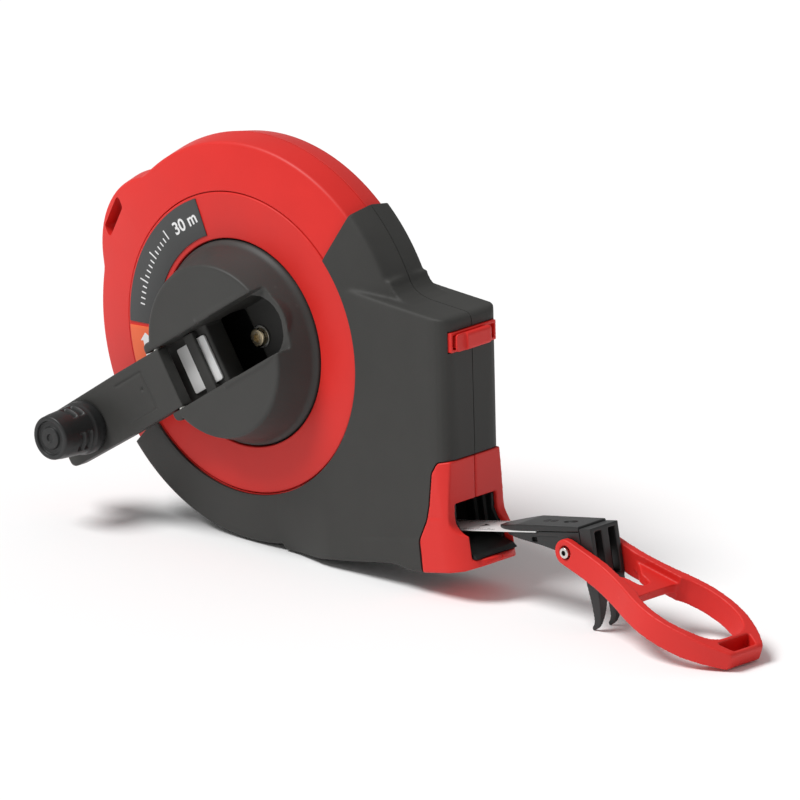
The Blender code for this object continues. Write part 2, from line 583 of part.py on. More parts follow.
# ---- tape end ----
def tape_parts():
    tape = pivot("tape_pivot", (TAPE_REAR, 0, TAPE_Z))
    strip = [(TAPE_REAR, TAPE_Z - TAPE_THICK / 2), (BLOCK_REAR + 20, TAPE_Z - TAPE_THICK / 2),
             (BLOCK_REAR + 20, TAPE_Z + TAPE_THICK / 2), (TAPE_REAR, TAPE_Z + TAPE_THICK / 2)]
    plate("tape_strip", strip, -TAPE_HALF, TAPE_HALF, TAPE, parent=tape)
    split = TAPE_Z + TAPE_THICK / 2 + 0.1
    under = TAPE_Z - TAPE_THICK / 2 - 0.1
    upper_side = [(BLOCK_REAR, split), (PLATE_BACK - GAP, split), (PLATE_BACK - GAP, split + 1.6),
                  (BLOCK_REAR + 12, split + 1.9), (BLOCK_REAR + 1, split + 0.8)]
    upper = plate("hook_block_upper", upper_side, -TAPE_HALF, TAPE_HALF, BLACK, parent=tape)
    plan = [(BLOCK_REAR + 12, TAPE_HALF + 1), (BLOCK_REAR + 6, 5.2), (BLOCK_REAR + 2, 3.2), (BLOCK_REAR, 1.4),
            (BLOCK_REAR, -1.4), (BLOCK_REAR + 2, -3.2), (BLOCK_REAR + 6, -5.2), (BLOCK_REAR + 12, -TAPE_HALF - 1),
            (140, -TAPE_HALF - 1), (140, TAPE_HALF + 1)]
    trim = plate("block_plan", plan, -90, -40, turn=Matrix.Identity(4), cutter=True)
    combine(upper, trim, "INTERSECT")
    lower_side = [(BLOCK_REAR + 7, under), (BLOCK_REAR + 7, under - 0.8), (BLOCK_REAR + 22, -64.3),
                  (BLOCK_REAR + 29, -66.2), (RIVET_X - 2.5, -69.0), (RIVET_X + 2.0, -69.4), (PLATE_BACK - GAP, -68.4),
                  (PLATE_BACK - GAP, split - 0.2), (BLOCK_REAR + 21, split - 0.2), (BLOCK_REAR + 21, under)]
    lower = plate("hook_block_lower", lower_side, -TAPE_HALF, TAPE_HALF, BLACK, parent=tape)
    combine(lower, trim, "INTERSECT")
    notch = plate("side_notch", [(107, -63.2), (109.2, -63.2), (109.2, -61.6), (107, -61.6)], -9, 9, cutter=True)
    notch_core = plate("side_notch_core", [(105, -65), (111, -65), (111, -61), (105, -61)], -5.2, 5.2, cutter=True)
    combine(notch, notch_core, "DIFFERENCE")
    combine(lower, notch, "DIFFERENCE")
    rivet_hole = round_bar("block_rivet_hole", 2.2, -12, 12, (RIVET_X, RIVET_Z), steps=20, cutter=True)
    combine(lower, rivet_hole, "DIFFERENCE")
    claws(tape)
    rivet = [(0.85, 9.9), (1.5, 9.9), (1.75, 9.6), (1.75, -9.6), (1.5, -9.9), (0.85, -9.9)]
    turned("handle_rivet", rivet, STEEL, 1, 20, (RIVET_X, RIVET_Z), tape)
    return tape


def claws(tape):
    """Front plate with three ribs, two windows between them and two claws with hooked tips."""
    bottom = -77.0
    front = [(-6.4, -58.7), (6.4, -58.7), (6.4, bottom), (5.9, -80.0), (5.0, -86.0), (4.3, CLAW_TIP_Z),
             (3.2, CLAW_TIP_Z), (2.3, -85.0), (1.5, -80.6)] + arc(0, -80.2, 1.4, 0, 180, 6)
    front += [(-1.5, -80.6), (-2.3, -85.0), (-3.2, CLAW_TIP_Z), (-4.3, CLAW_TIP_Z), (-5.0, -86.0), (-5.9, -80.0),
              (-6.4, bottom)]
    turn_front = Matrix(((0, 0, 1, 0), (1, 0, 0, 0), (0, 1, 0, 0), (0, 0, 0, 1)))
    body = plate("claw_plate", front, PLATE_BACK, PLATE_FRONT, BLACK, turn=turn_front, parent=tape)
    side = [(PLATE_BACK, -58.0), (PLATE_FRONT, -58.0), (PLATE_FRONT, -74.0), (PLATE_FRONT - 0.8, -80.0),
            (PLATE_FRONT - 2.0, -86.0), (PLATE_BACK + 0.9, -90.0), (PLATE_BACK - 2.2, CLAW_TIP_Z - 0.2),
            (PLATE_BACK - 2.6, CLAW_TIP_Z + 0.7), (PLATE_BACK - 0.9, -88.6), (PLATE_BACK - 0.2, -84.0),
            (PLATE_BACK, -78.0)]
    stretched = plate("claw_stock", front, PLATE_BACK - 4, PLATE_FRONT + 1, turn=turn_front, cutter=True)
    shape = plate("claw_side", side, -12, 12, cutter=True)
    combine(body, stretched, "UNION")
    combine(body, shape, "INTERSECT")
    for y in (-3.1, 3.1):
        groove = plate("rib_groove_%d" % (y > 0), [(y - 1.5, -95), (y + 1.5, -95), (y + 1.5, -60.2), (y - 1.5, -60.2)],
                       PLATE_BACK + 2.6, PLATE_FRONT + 2, turn=turn_front, cutter=True)
        trim = plate("rib_groove_trim_%d" % (y > 0), [(-9, -74.5), (9, -74.5), (9, -50), (-9, -50)], 100, 150,
                     turn=turn_front, cutter=True)
        combine(groove, trim, "INTERSECT")
        combine(body, groove, "DIFFERENCE")
        window = plate("window_%d" % (y > 0), [(y - 0.9, -73.4), (y + 0.9, -73.4), (y + 0.9, -69.8), (y - 0.9, -69.8)],
                       110, 150, turn=turn_front, cutter=True)
        combine(body, window, "DIFFERENCE")
    return body


# ---- pull handle ----
def handle_parts(tape):
    """Red pull loop on the tubular rivet: two arms, a web, a finger opening and a blunt hollow end."""
    handle = pivot("handle_pivot", (RIVET_X, 0, RIVET_Z), tape)
    tilt = Matrix.Rotation(math.radians(HANDLE_DROP), 4, "Y")
    turn = Matrix.Translation((RIVET_X * MM, 0, RIVET_Z * MM)) @ tilt
    outer = [(-4.2, 9.4), (8, 9.4), (16, 10.0), (25, 12.0), (33, 14.6), (41, 16.2), (49, 16.0), (57, 14.2),
             (64, 11.4), (HANDLE_LONG, 7.0)]
    outline = outer + [(x, -y) for x, y in reversed(outer)]
    body = plate("pull_handle", outline, -HANDLE_HALF_Z, HANDLE_HALF_Z, RED, turn=turn, parent=handle)
    side = arc(0, 0, HANDLE_HALF_Z, 90, 270, 8) + [(30, -HANDLE_HALF_Z - 0.2), (56, -HANDLE_HALF_Z),
                                                  (HANDLE_LONG, -2.6), (HANDLE_LONG, 3.4), (56, HANDLE_HALF_Z),
                                                  (30, HANDLE_HALF_Z)]
    side_turn = Matrix.Translation((RIVET_X * MM, 0, RIVET_Z * MM)) @ tilt @ SHEET
    combine(body, plate("handle_side", side, -20, 20, turn=side_turn, cutter=True), "INTERSECT")
    fork = [(-8, 6.8), (12, 6.8), (17, 6.6), (19.5, 4.2), (24, 2.6)] + arc(24, 0, 2.6, 60, -60, 4)
    fork += [(24, -2.6), (19.5, -4.2), (17, -6.6), (12, -6.8), (-8, -6.8)]
    combine(body, plate("fork_cut", fork, -9, 9, turn=turn, cutter=True), "DIFFERENCE")
    opening = [(30.5, 0), (30.5, 10.0), (36, 12.3), (42, 13.4), (49, 13.2), (56, 11.2), (62, 7.4), (62.5, 0)]
    opening += [(x, -y) for x, y in reversed(opening[1:-1])]
    combine(body, plate("finger_cut", opening, -9, 9, turn=turn, cutter=True), "DIFFERENCE")
    web_top = [(14, 6.7), (31.5, 9.7), (31.5, -9.7), (14, -6.7)]
    combine(body, plate("web_top_cut", web_top, 1.6, 9, turn=turn, cutter=True), "DIFFERENCE")
    combine(body, plate("web_low_cut", web_top, -9, -1.6, turn=turn, cutter=True), "DIFFERENCE")
    recess = [(63.8, 7.2), (69.5, 5.2), (69.5, -5.2), (63.8, -7.2)]
    combine(body, plate("end_recess", recess, -1.4, 9, turn=turn, cutter=True), "DIFFERENCE")
    hole = round_bar("handle_rivet_hole", 2.2, -12, 12, (RIVET_X, RIVET_Z), steps=20, cutter=True)
    combine(body, hole, "DIFFERENCE")
    return body


# ---- right side screws ----
def case_screws():
    """Identical case screws that hold the disc on the right half."""
    head = [(0, RING_FACE + 0.6), (1.8, RING_FACE + 0.6), (2.4, RING_FACE + 0.1), (2.4, RING_FACE + 0.06),
            (0, RING_FACE + 0.06)]
    for number in range(5):
        turned("case_screw_%d" % (number + 1), head, STEEL, -1, 12, across(60 + 72 * number, 30.0))


def rest_on_floor():
    """Move the stand so the lowest point is z = 0 and the outline is centred over the origin."""
    depsgraph = bpy.context.evaluated_depsgraph_get()
    corners = []
    for obj in PARTS.objects:
        if obj.type == "MESH":
            seen = obj.evaluated_get(depsgraph)
            corners += [seen.matrix_world @ v.co for v in seen.data.vertices]
    low = [min(c[i] for c in corners) for i in range(3)]
    high = [max(c[i] for c in corners) for i in range(3)]
    STAND.location = (-(low[0] + high[0]) / 2, -(low[1] + high[1]) / 2, -low[2])


clear_scene()
PARTS = new_collection("Surveyor tape reel")
CUTTERS = new_collection("Cutters")
STAND = bpy.data.objects.new("stand", None)
PARTS.objects.link(STAND)
STAND.rotation_euler = (0, math.radians(-NOSE_UP), 0)

RED = material("red plastic", (0.66, 0.045, 0.035), 0.45)
DARK = material("dark rubberised plastic", (0.055, 0.054, 0.05), 0.6)
BLACK = material("black plastic", (0.015, 0.016, 0.016), 0.45)
TAPE = material("lacquered tape", (0.75, 0.75, 0.74), 0.35)
WHITE = material("white acetal", (0.86, 0.86, 0.85), 0.35)
STEEL = material("plated steel", (0.62, 0.61, 0.58), 0.3, 1.0)
BRASS = material("yellow zinc screw", (0.7, 0.6, 0.42), 0.3, 1.0)
LABEL_DARK = material("dark label", (0.05, 0.052, 0.052), 0.5)
LABEL_ORANGE = material("orange label", (0.8, 0.16, 0.045), 0.5)

shared_cutters()
case_half(1, True)
case_half(-1, False)
jacket(1)
jacket(-1)
nose(1)
nose(-1)
mouth_liner()
ring_plates()
labels()
lock_parts()
REEL = reel_parts()
crank_parts(REEL)
TAPE_BODY = tape_parts()
handle_parts(TAPE_BODY)
case_screws()
rest_on_floor()
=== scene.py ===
import json
import math

import bmesh
import bpy
import numpy as np
from mathutils import Matrix, Vector


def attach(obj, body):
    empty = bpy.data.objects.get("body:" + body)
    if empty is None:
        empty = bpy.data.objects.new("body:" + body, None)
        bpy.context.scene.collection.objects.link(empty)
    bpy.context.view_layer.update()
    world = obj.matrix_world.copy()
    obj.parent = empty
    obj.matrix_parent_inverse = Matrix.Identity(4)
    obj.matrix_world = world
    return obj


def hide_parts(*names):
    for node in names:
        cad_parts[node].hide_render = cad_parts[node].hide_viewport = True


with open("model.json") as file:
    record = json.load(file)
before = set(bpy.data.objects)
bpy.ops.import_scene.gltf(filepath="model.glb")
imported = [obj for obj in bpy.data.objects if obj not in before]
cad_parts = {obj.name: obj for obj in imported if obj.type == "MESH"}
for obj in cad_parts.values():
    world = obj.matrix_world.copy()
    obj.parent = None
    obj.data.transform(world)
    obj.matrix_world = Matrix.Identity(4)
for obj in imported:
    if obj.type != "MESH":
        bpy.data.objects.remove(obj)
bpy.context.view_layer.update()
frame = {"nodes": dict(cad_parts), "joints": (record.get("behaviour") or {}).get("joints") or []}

nodes = frame["nodes"]
joints = {joint["name"]: joint for joint in frame["joints"]}
bpy.context.scene.view_settings.view_transform = "Standard"

# The reel is drawn in millimetres, reel axis on Y, foot level, crank on -Y; stand puts it in the frame
reelCentre = Vector(joints["reel_spin"]["pos_m"])
bladeWay = Vector(joints["tape_slide"]["axis"])
noseUp = math.atan2(bladeWay.z, bladeWay.x)
stand = Matrix.Translation(reelCentre) @ Matrix.Rotation(-noseUp, 4, "Y") @ Matrix.Scale(0.001, 4)


def drawn(jointName):
    return stand.inverted() @ Vector(joints[jointName]["pos_m"])


hingeAt, knobAt, rivetAt = drawn("crank_fold"), drawn("knob_spin"), drawn("handle_swing")
crankAngle = math.atan2(hingeAt.z, hingeAt.x)
hingeOut, hingeUp = math.hypot(hingeAt.x, hingeAt.z), -hingeAt.y
knobOut = math.hypot(knobAt.x, knobAt.z)

# sheets: a drawing's x and y, and the height it stands up to
sideSheet = Matrix(((1, 0, 0, 0), (0, 0, -1, 0), (0, 1, 0, 0), (0, 0, 0, 1)))
farSheet = Matrix(((1, 0, 0, 0), (0, 0, 1, 0), (0, 1, 0, 0), (0, 0, 0, 1)))
planSheet = Matrix.Identity(4)
frontSheet = Matrix(((0, 0, 1, 0), (1, 0, 0, 0), (0, 1, 0, 0), (0, 0, 0, 1)))
crankSheet = sideSheet @ Matrix.Rotation(crankAngle, 4, "Z")
pinSheet = crankSheet @ Matrix(((1, 0, 0, hingeOut), (0, 0, 1, 0), (0, -1, 0, hingeUp), (0, 0, 0, 1)))


# Shapes
def arcPoints(radius, start, end, steps, centre=(0, 0), radiusY=None):
    turns = [math.radians(start + (end - start) * i / steps) for i in range(steps + 1)]
    return [(centre[0] + radius * math.cos(t), centre[1] + (radiusY or radius) * math.sin(t)) for t in turns]


# A polyline whose corners (x, y, radius) are rounded off
def rounded(points, closed=True, steps=5):
    out = []
    last = len(points)
    for i, point in enumerate(points):
        corner = Vector(point[:2])
        radius = point[2] if len(point) > 2 else 0
        if not radius or (not closed and i in (0, last - 1)):
            out.append(tuple(corner))
            continue
        before, after = Vector(points[i - 1][:2]) - corner, Vector(points[(i + 1) % last][:2]) - corner
        half = before.angle(after) / 2
        reach = min(radius / math.tan(half), before.length * 0.49, after.length * 0.49)
        a, b = corner + before.normalized() * reach, corner + after.normalized() * reach
        for k in range(steps + 1):
            t = k / steps
            out.append(tuple(a * (1 - t) ** 2 + corner * 2 * t * (1 - t) + b * t * t))
    return out


# Catmull-Rom curve through open points
def smoothLine(points, steps=6):
    ends = [points[0]] + list(points) + [points[-1]]
    out = []
    for a, b, c, d in zip(ends, ends[1:], ends[2:], ends[3:]):
        a, b, c, d = (Vector(p) for p in (a, b, c, d))
        for k in range(steps):
            t = k / steps
            out.append(tuple(0.5 * (2 * b + (c - a) * t + (2 * a - 5 * b + 4 * c - d) * t * t
                                    + (3 * b - a - 3 * c + d) * t ** 3)))
    out.append(tuple(points[-1]))
    return out


def newPiece(name, points, faces, sheet):
    mesh = bpy.data.meshes.new(name)
    mesh.from_pydata([tuple(p) for p in points], [], faces)
    mesh.transform(sheet)
    shape = bmesh.new()
    shape.from_mesh(mesh)
    bmesh.ops.recalc_face_normals(shape, faces=shape.faces)
    shape.to_mesh(mesh)
    shape.free()
    piece = bpy.data.objects.new(name, mesh)
    bpy.context.scene.collection.objects.link(piece)
    return piece


# Closed (radius, height) loop carried round an axis; the loop may change with the angle
def swept(name, profileAt, sheet=sideSheet, steps=180, centre=(0, 0)):
    rings = []
    points = []
    for i in range(steps):
        turn = 2 * math.pi * i / steps
        ring = []
        for k, (r, h) in enumerate(profileAt(math.degrees(turn))):
            if r < 1e-6 and i:
                ring.append(rings[0][k])
                continue
            ring.append(len(points))
            points.append((centre[0] + r * math.cos(turn), centre[1] + r * math.sin(turn), h))
        rings.append(ring)
    faces = []
    for i in range(steps):
        a, b = rings[i], rings[(i + 1) % steps]
        for k in range(len(a)):
            n = (k + 1) % len(a)
            face = list(dict.fromkeys((a[k], a[n], b[n], b[k])))
            if len(face) > 2:
                faces.append(face)
    return newPiece(name, points, faces, sheet)


def turnedPiece(name, profile, sheet=sideSheet, steps=180, centre=(0, 0)):
    loop = rounded(profile)
    return swept(name, lambda angle: loop, sheet, steps, centre)


def plate(name, outline, low, high, sheet=sideSheet, edge=0.0, segments=4, limit=40):
    count = len(outline)
    points = [(x, y, low) for x, y in outline] + [(x, y, high) for x, y in outline]
    faces = [list(range(count)), list(range(count, 2 * count))]
    faces += [(i, (i + 1) % count, (i + 1) % count + count, i + count) for i in range(count)]
    piece = newPiece(name, points, faces, sheet)
    if edge:
        bevel = piece.modifiers.new("Soft edges", "BEVEL")
        bevel.width = edge
        bevel.segments = segments
        bevel.limit_method = "ANGLE"
        bevel.angle_limit = math.radians(limit)
        bakeShape(piece)
    return piece


def boxOutline(lowX, highX, lowY, highY, radius=0.0):
    return rounded([(lowX, lowY, radius), (highX, lowY, radius), (highX, highY, radius), (lowX, highY, radius)])


def bakeShape(piece):
    seen = piece.evaluated_get(bpy.context.evaluated_depsgraph_get())
    mesh = bpy.data.meshes.new_from_object(seen)
    old = piece.data
    piece.modifiers.clear()
    piece.data = mesh
    bpy.data.meshes.remove(old)
    return piece


# Boolean with every tool; the tools are used up
def combined(piece, tools, how):
    for tool in tools:
        step = piece.modifiers.new(how.title(), "BOOLEAN")
        step.operation = how
        step.solver = "EXACT"
        step.object = tool
    bakeShape(piece)
    for tool in tools:
        bpy.data.objects.remove(tool, do_unlink=True)
    return piece


def cutBy(piece, *tools):
    return combined(piece, tools, "DIFFERENCE")


def joinedTo(piece, *tools):
    return combined(piece, tools, "UNION")


def keptIn(piece, *tools):
    return combined(piece, tools, "INTERSECT")


# Gives a piece the small even radii of a moulding: a fine even mesh, relaxed a little
def moulded(piece, voxel, passes=4, keep=1.0):
    grid = piece.modifiers.new("Fine mesh", "REMESH")
    grid.mode = "VOXEL"
    grid.voxel_size = voxel * 1
    grid.use_smooth_shade = True
    relax = piece.modifiers.new("Relax", "SMOOTH")
    relax.factor = 0.5
    relax.iterations = passes
    if keep < 1:
        thin = piece.modifiers.new("Thin out", "DECIMATE")
        thin.ratio = keep
    return bakeShape(piece)


# The same piece for the other side of the seam
def mirrored(piece, name):
    twin = bpy.data.objects.new(name, piece.data.copy())
    bpy.context.scene.collection.objects.link(twin)
    twin.data.transform(Matrix.Scale(-1, 4, (0, 1, 0)))
    twin.data.flip_normals()
    return twin


def finishPiece(piece, body, material, slot, *replaced, sharp=None):
    piece.data.transform(stand)
    piece.data.materials.clear()
    piece.data.materials.append(material)
    piece.data.shade_smooth()
    if sharp:
        piece.data.set_sharp_from_angle(angle=math.radians(sharp))
    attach(piece, body)
    if replaced:
        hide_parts(*replaced)
    return piece


def pointsOf(piece):
    co = np.zeros(len(piece.data.vertices) * 3)
    piece.data.vertices.foreach_get("co", co)
    return co.reshape(-1, 3)


def movePoints(piece, co):
    piece.data.vertices.foreach_set("co", co.ravel())
    piece.data.update()


def ease(values):
    t = np.clip(values, 0, 1)
    return t * t * (3 - 2 * t)


# Materials
def wire(tree, start, end):
    tree.links.new(start, end)


# Moulded plastic: spark-grained skin, faint colour clouds, rubbed high edges, uneven gloss
def plasticMaterial(name, look):
    material = bpy.data.materials.new(name)
    material.use_nodes = True
    tree = material.node_tree
    shader = tree.nodes["Principled BSDF"]
    place = tree.nodes.new("ShaderNodeTexCoord")
    grain = tree.nodes.new("ShaderNodeTexNoise")
    grain.inputs["Scale"].default_value = look["grain"]
    grain.inputs["Detail"].default_value = 3
    clouds = tree.nodes.new("ShaderNodeTexNoise")
    clouds.inputs["Scale"].default_value = look["clouds"]
    clouds.inputs["Detail"].default_value = 4
    for texture in (grain, clouds):
        wire(tree, place.outputs["Object"], texture.inputs["Vector"])
    tone = tree.nodes.new("ShaderNodeValToRGB")
    tone.color_ramp.elements[0].position = 0.3
    tone.color_ramp.elements[0].color = (*[c * (1 - look["vary"]) for c in look["color"]], 1)
    tone.color_ramp.elements[1].position = 0.7
    tone.color_ramp.elements[1].color = (*[min(1, c * (1 + look["vary"])) for c in look["color"]], 1)
    wire(tree, clouds.outputs["Fac"], tone.inputs["Fac"])
    shape = tree.nodes.new("ShaderNodeNewGeometry")
    edge = tree.nodes.new("ShaderNodeMapRange")
    edge.inputs["From Min"].default_value = 0.52
    edge.inputs["From Max"].default_value = 0.6
    edge.inputs["To Max"].default_value = look["wear"]
    wire(tree, shape.outputs["Pointiness"], edge.inputs["Value"])
    worn = tree.nodes.new("ShaderNodeMix")
    worn.data_type = "RGBA"
    worn.inputs["B"].default_value = (*look["worn"], 1)
    wire(tree, edge.outputs["Result"], worn.inputs["Factor"])
    wire(tree, tone.outputs["Color"], worn.inputs["A"])
    wire(tree, worn.outputs["Result"], shader.inputs["Base Color"])
    gloss = tree.nodes.new("ShaderNodeMapRange")
    gloss.inputs["To Min"].default_value = look["rough"] - look["roughVary"]
    gloss.inputs["To Max"].default_value = look["rough"] + look["roughVary"]
    wire(tree, clouds.outputs["Fac"], gloss.inputs["Value"])
    wire(tree, gloss.outputs["Result"], shader.inputs["Roughness"])
    bump = tree.nodes.new("ShaderNodeBump")
    bump.inputs["Strength"].default_value = look["bump"]
    bump.inputs["Distance"].default_value = 0.00012
    wire(tree, grain.outputs["Fac"], bump.inputs["Height"])
    wire(tree, bump.outputs["Normal"], shader.inputs["Normal"])
    shader.inputs["Metallic"].default_value = look.get("metal", 0)
    shader.inputs["Specular IOR Level"].default_value = look.get("specular", 0.5)
    return material


redLook = {"color": (0.66, 0.021, 0.016), "vary": 0.03, "clouds": 60, "grain": 2600, "bump": 0.28,
           "rough": 0.47, "roughVary": 0.05, "worn": (0.75, 0.055, 0.045), "wear": 0.3, "specular": 0.35}
darkLook = {"color": (0.04, 0.0395, 0.037), "vary": 0.06, "clouds": 80, "grain": 3200, "bump": 0.35,
            "rough": 0.62, "roughVary": 0.06, "worn": (0.07, 0.069, 0.066), "wear": 0.35, "specular": 0.3}
hubLook = {**darkLook, "color": (0.043, 0.0425, 0.04), "rough": 0.5, "grain": 2400, "bump": 0.3}
blackLook = {"color": (0.018, 0.0185, 0.0185), "vary": 0.08, "clouds": 90, "grain": 3000, "bump": 0.22,
             "rough": 0.42, "roughVary": 0.06, "worn": (0.04, 0.04, 0.04), "wear": 0.3, "specular": 0.4}
mouthLook = {**blackLook, "color": (0.006, 0.008, 0.008), "specular": 0.25}
labelLook = {"color": (0.045, 0.046, 0.046), "vary": 0.04, "clouds": 120, "grain": 5000, "bump": 0.1,
             "rough": 0.5, "roughVary": 0.04, "worn": (0.06, 0.06, 0.06), "wear": 0.1}
orangeLook = {**labelLook, "color": (0.83, 0.13, 0.035), "worn": (0.85, 0.2, 0.08)}
printLook = {**labelLook, "color": (0.8, 0.8, 0.8), "worn": (0.75, 0.75, 0.75)}
bladeLook = {"color": (0.72, 0.72, 0.71), "vary": 0.03, "clouds": 150, "grain": 1800, "bump": 0.08,
             "rough": 0.32, "roughVary": 0.05, "worn": (0.6, 0.6, 0.6), "wear": 0.2}
inkLook = {**labelLook, "color": (0.012, 0.012, 0.012)}
acetalLook = {"color": (0.85, 0.85, 0.84), "vary": 0.02, "clouds": 100, "grain": 3000, "bump": 0.06,
              "rough": 0.3, "roughVary": 0.05, "worn": (0.9, 0.9, 0.9), "wear": 0.2}
steelLook = {"color": (0.62, 0.61, 0.58), "vary": 0.06, "clouds": 400, "grain": 2500, "bump": 0.12,
             "rough": 0.28, "roughVary": 0.1, "worn": (0.8, 0.79, 0.76), "wear": 0.3, "metal": 1}
zincLook = {**steelLook, "color": (0.72, 0.6, 0.4), "worn": (0.85, 0.74, 0.55)}

redPlastic = plasticMaterial("red_plastic", redLook)
darkRubber = plasticMaterial("dark_rubber_skin", darkLook)
hubPlastic = plasticMaterial("dark_hub_plastic", hubLook)
blackPlastic = plasticMaterial("black_plastic", blackLook)
mouthBlack = plasticMaterial("mouth_black", mouthLook)
darkLabel = plasticMaterial("dark_label_film", labelLook)
orangeLabel = plasticMaterial("orange_label_film", orangeLook)
whitePrint = plasticMaterial("white_print", printLook)
bladeLacquer = plasticMaterial("blade_lacquer", bladeLook)
bladeInk = plasticMaterial("blade_ink", inkLook)
whiteAcetal = plasticMaterial("white_acetal", acetalLook)
platedSteel = plasticMaterial("plated_steel", steelLook)
yellowZinc = plasticMaterial("yellow_zinc", zincLook)

# Camera and light
view = {"turn": 42.4, "height": 17.4, "distance": 9.0, "across": 0.25, "aim": (0.0401, 0.0169, -0.0171)}


def makeCamera():
    turn, up = math.radians(view["turn"]), math.radians(view["height"])
    back = Vector((math.sin(turn) * math.cos(up), -math.cos(turn) * math.cos(up), math.sin(up)))
    aim = reelCentre + Vector(view["aim"])
    lens = bpy.data.cameras.new("camera")
    lens.sensor_width = 36
    lens.lens = 36 * view["distance"] / view["across"]
    lens.clip_end = 30
    camera = bpy.data.objects.new("camera", lens)
    camera.location = aim + back * view["distance"]
    camera.rotation_euler = back.to_track_quat("Z", "Y").to_euler()
    bpy.context.scene.collection.objects.link(camera)
    bpy.context.scene.camera = camera


sun = {"from": (-0.3, -0.5, 0.9), "strength": 2.75, "spread": 26}
studio = {"floor": (0.96, 0.96, 0.96), "sky": 0.36, "half": 12.0}


def makeStudio():
    data = bpy.data.lights.new("soft_sun", "SUN")
    data.energy = sun["strength"]
    data.angle = math.radians(sun["spread"])
    light = bpy.data.objects.new("soft_sun", data)
    light.location = sun["from"]
    light.rotation_euler = Vector(sun["from"]).to_track_quat("Z", "Y").to_euler()
    bpy.context.scene.collection.objects.link(light)
    world = bpy.data.worlds.new("studio")
    world.use_nodes = True
    world.node_tree.nodes["Background"].inputs["Color"].default_value = (1, 1, 1, 1)
    world.node_tree.nodes["Background"].inputs["Strength"].default_value = studio["sky"]
    bpy.context.scene.world = world
    half = studio["half"]
    floor = newPiece("studio_floor", [(-half, -half, 0), (half, -half, 0), (half, half, 0), (-half, half, 0)],
                     [(0, 1, 2, 3)], planSheet)
    paint = bpy.data.materials.new("studio_floor_paint")
    paint.use_nodes = True
    shader = paint.node_tree.nodes["Principled BSDF"]
    shader.inputs["Base Color"].default_value = (*studio["floor"], 1)
    shader.inputs["Roughness"].default_value = 0.9
    floor.data.materials.append(paint)


makeCamera()
makeStudio()
print("materials, camera and light made")

# Drum
drum = {"ringOut": 48.2, "ringHole": 33.4, "ringFace": 12.5, "recess": 10.9, "coneTop": 12.2,
        "crease": (63.4, 8.5), "rim": 65.0, "bore": 61.6, "boreTop": 7.9, "seam": 0.15, "gap": 0.3,
        "lugAngle": 142.5, "lugHalf": 16.5, "lugOut": 6.1, "eyeAngle": 143.5, "eyeOut": 65.2, "eyeLong": 12.5,
        "eyeWide": 4.4}
bladeCut = [(2, -61.3), (56, -61.3), (70, -62.0), (70, -57.4), (60, -57.6), (54, -58.8), (2, -58.8)]


def lugGrow(angle):
    t = (angle - drum["lugAngle"]) / drum["lugHalf"]
    s = 1 - t * t
    return drum["lugOut"] * (s + math.sqrt(s * s + 0.012)) / 2


def drumProfile(angle, hole):
    d = drum
    grow = lugGrow(angle)
    creaseR, creaseH = d["crease"]
    return rounded([(hole, d["recess"]), (d["ringOut"] + d["gap"], d["recess"]),
                    (d["ringOut"] + d["gap"], d["coneTop"], 0.3), (creaseR + grow, creaseH - 0.26 * grow, 1.6),
                    (d["rim"] + grow, d["seam"], 0.15), (d["bore"], d["seam"]), (d["bore"], d["boreTop"], 1.0),
                    (hole, d["boreTop"])])


def eyeOutline():
    angle = math.radians(drum["eyeAngle"])
    along = Vector((-math.sin(angle), math.cos(angle)))
    out = Vector((math.cos(angle), math.sin(angle)))
    middle = out * drum["eyeOut"]
    corners = []
    for a, o, r in ((-1, -1, 1.2), (1, -1, 1.8), (1, 1, 1.2), (-1, 1, 1.8)):
        p = middle + along * (a * drum["eyeLong"] / 2 - 0.9 * o) + out * o * drum["eyeWide"] / 2
        corners.append((p.x, p.y, r))
    return rounded(corners)


def makeDrum():
    for side, sheet, hole, name in ((1, sideSheet, drum["ringHole"] + 0.2, "case_left"),
                                    (-1, farSheet, 7.8, "case_right")):
        shell = swept(name + "_shell", lambda angle: drumProfile(angle, hole), sheet, 240)
        eye = plate("eye_tool", eyeOutline(), -14, 14)
        slot = plate("blade_tool", bladeCut, -7, 7)
        cutBy(shell, eye, slot)
        finishPiece(shell, "case", redPlastic, "red_plastic", name, sharp=38)


sideScrew = {"count": 5, "first": 60, "out": 30, "radius": 2.4, "high": 0.62, "crossHalf": 1.3,
             "crossWide": 0.28, "crossFoot": 0.2}


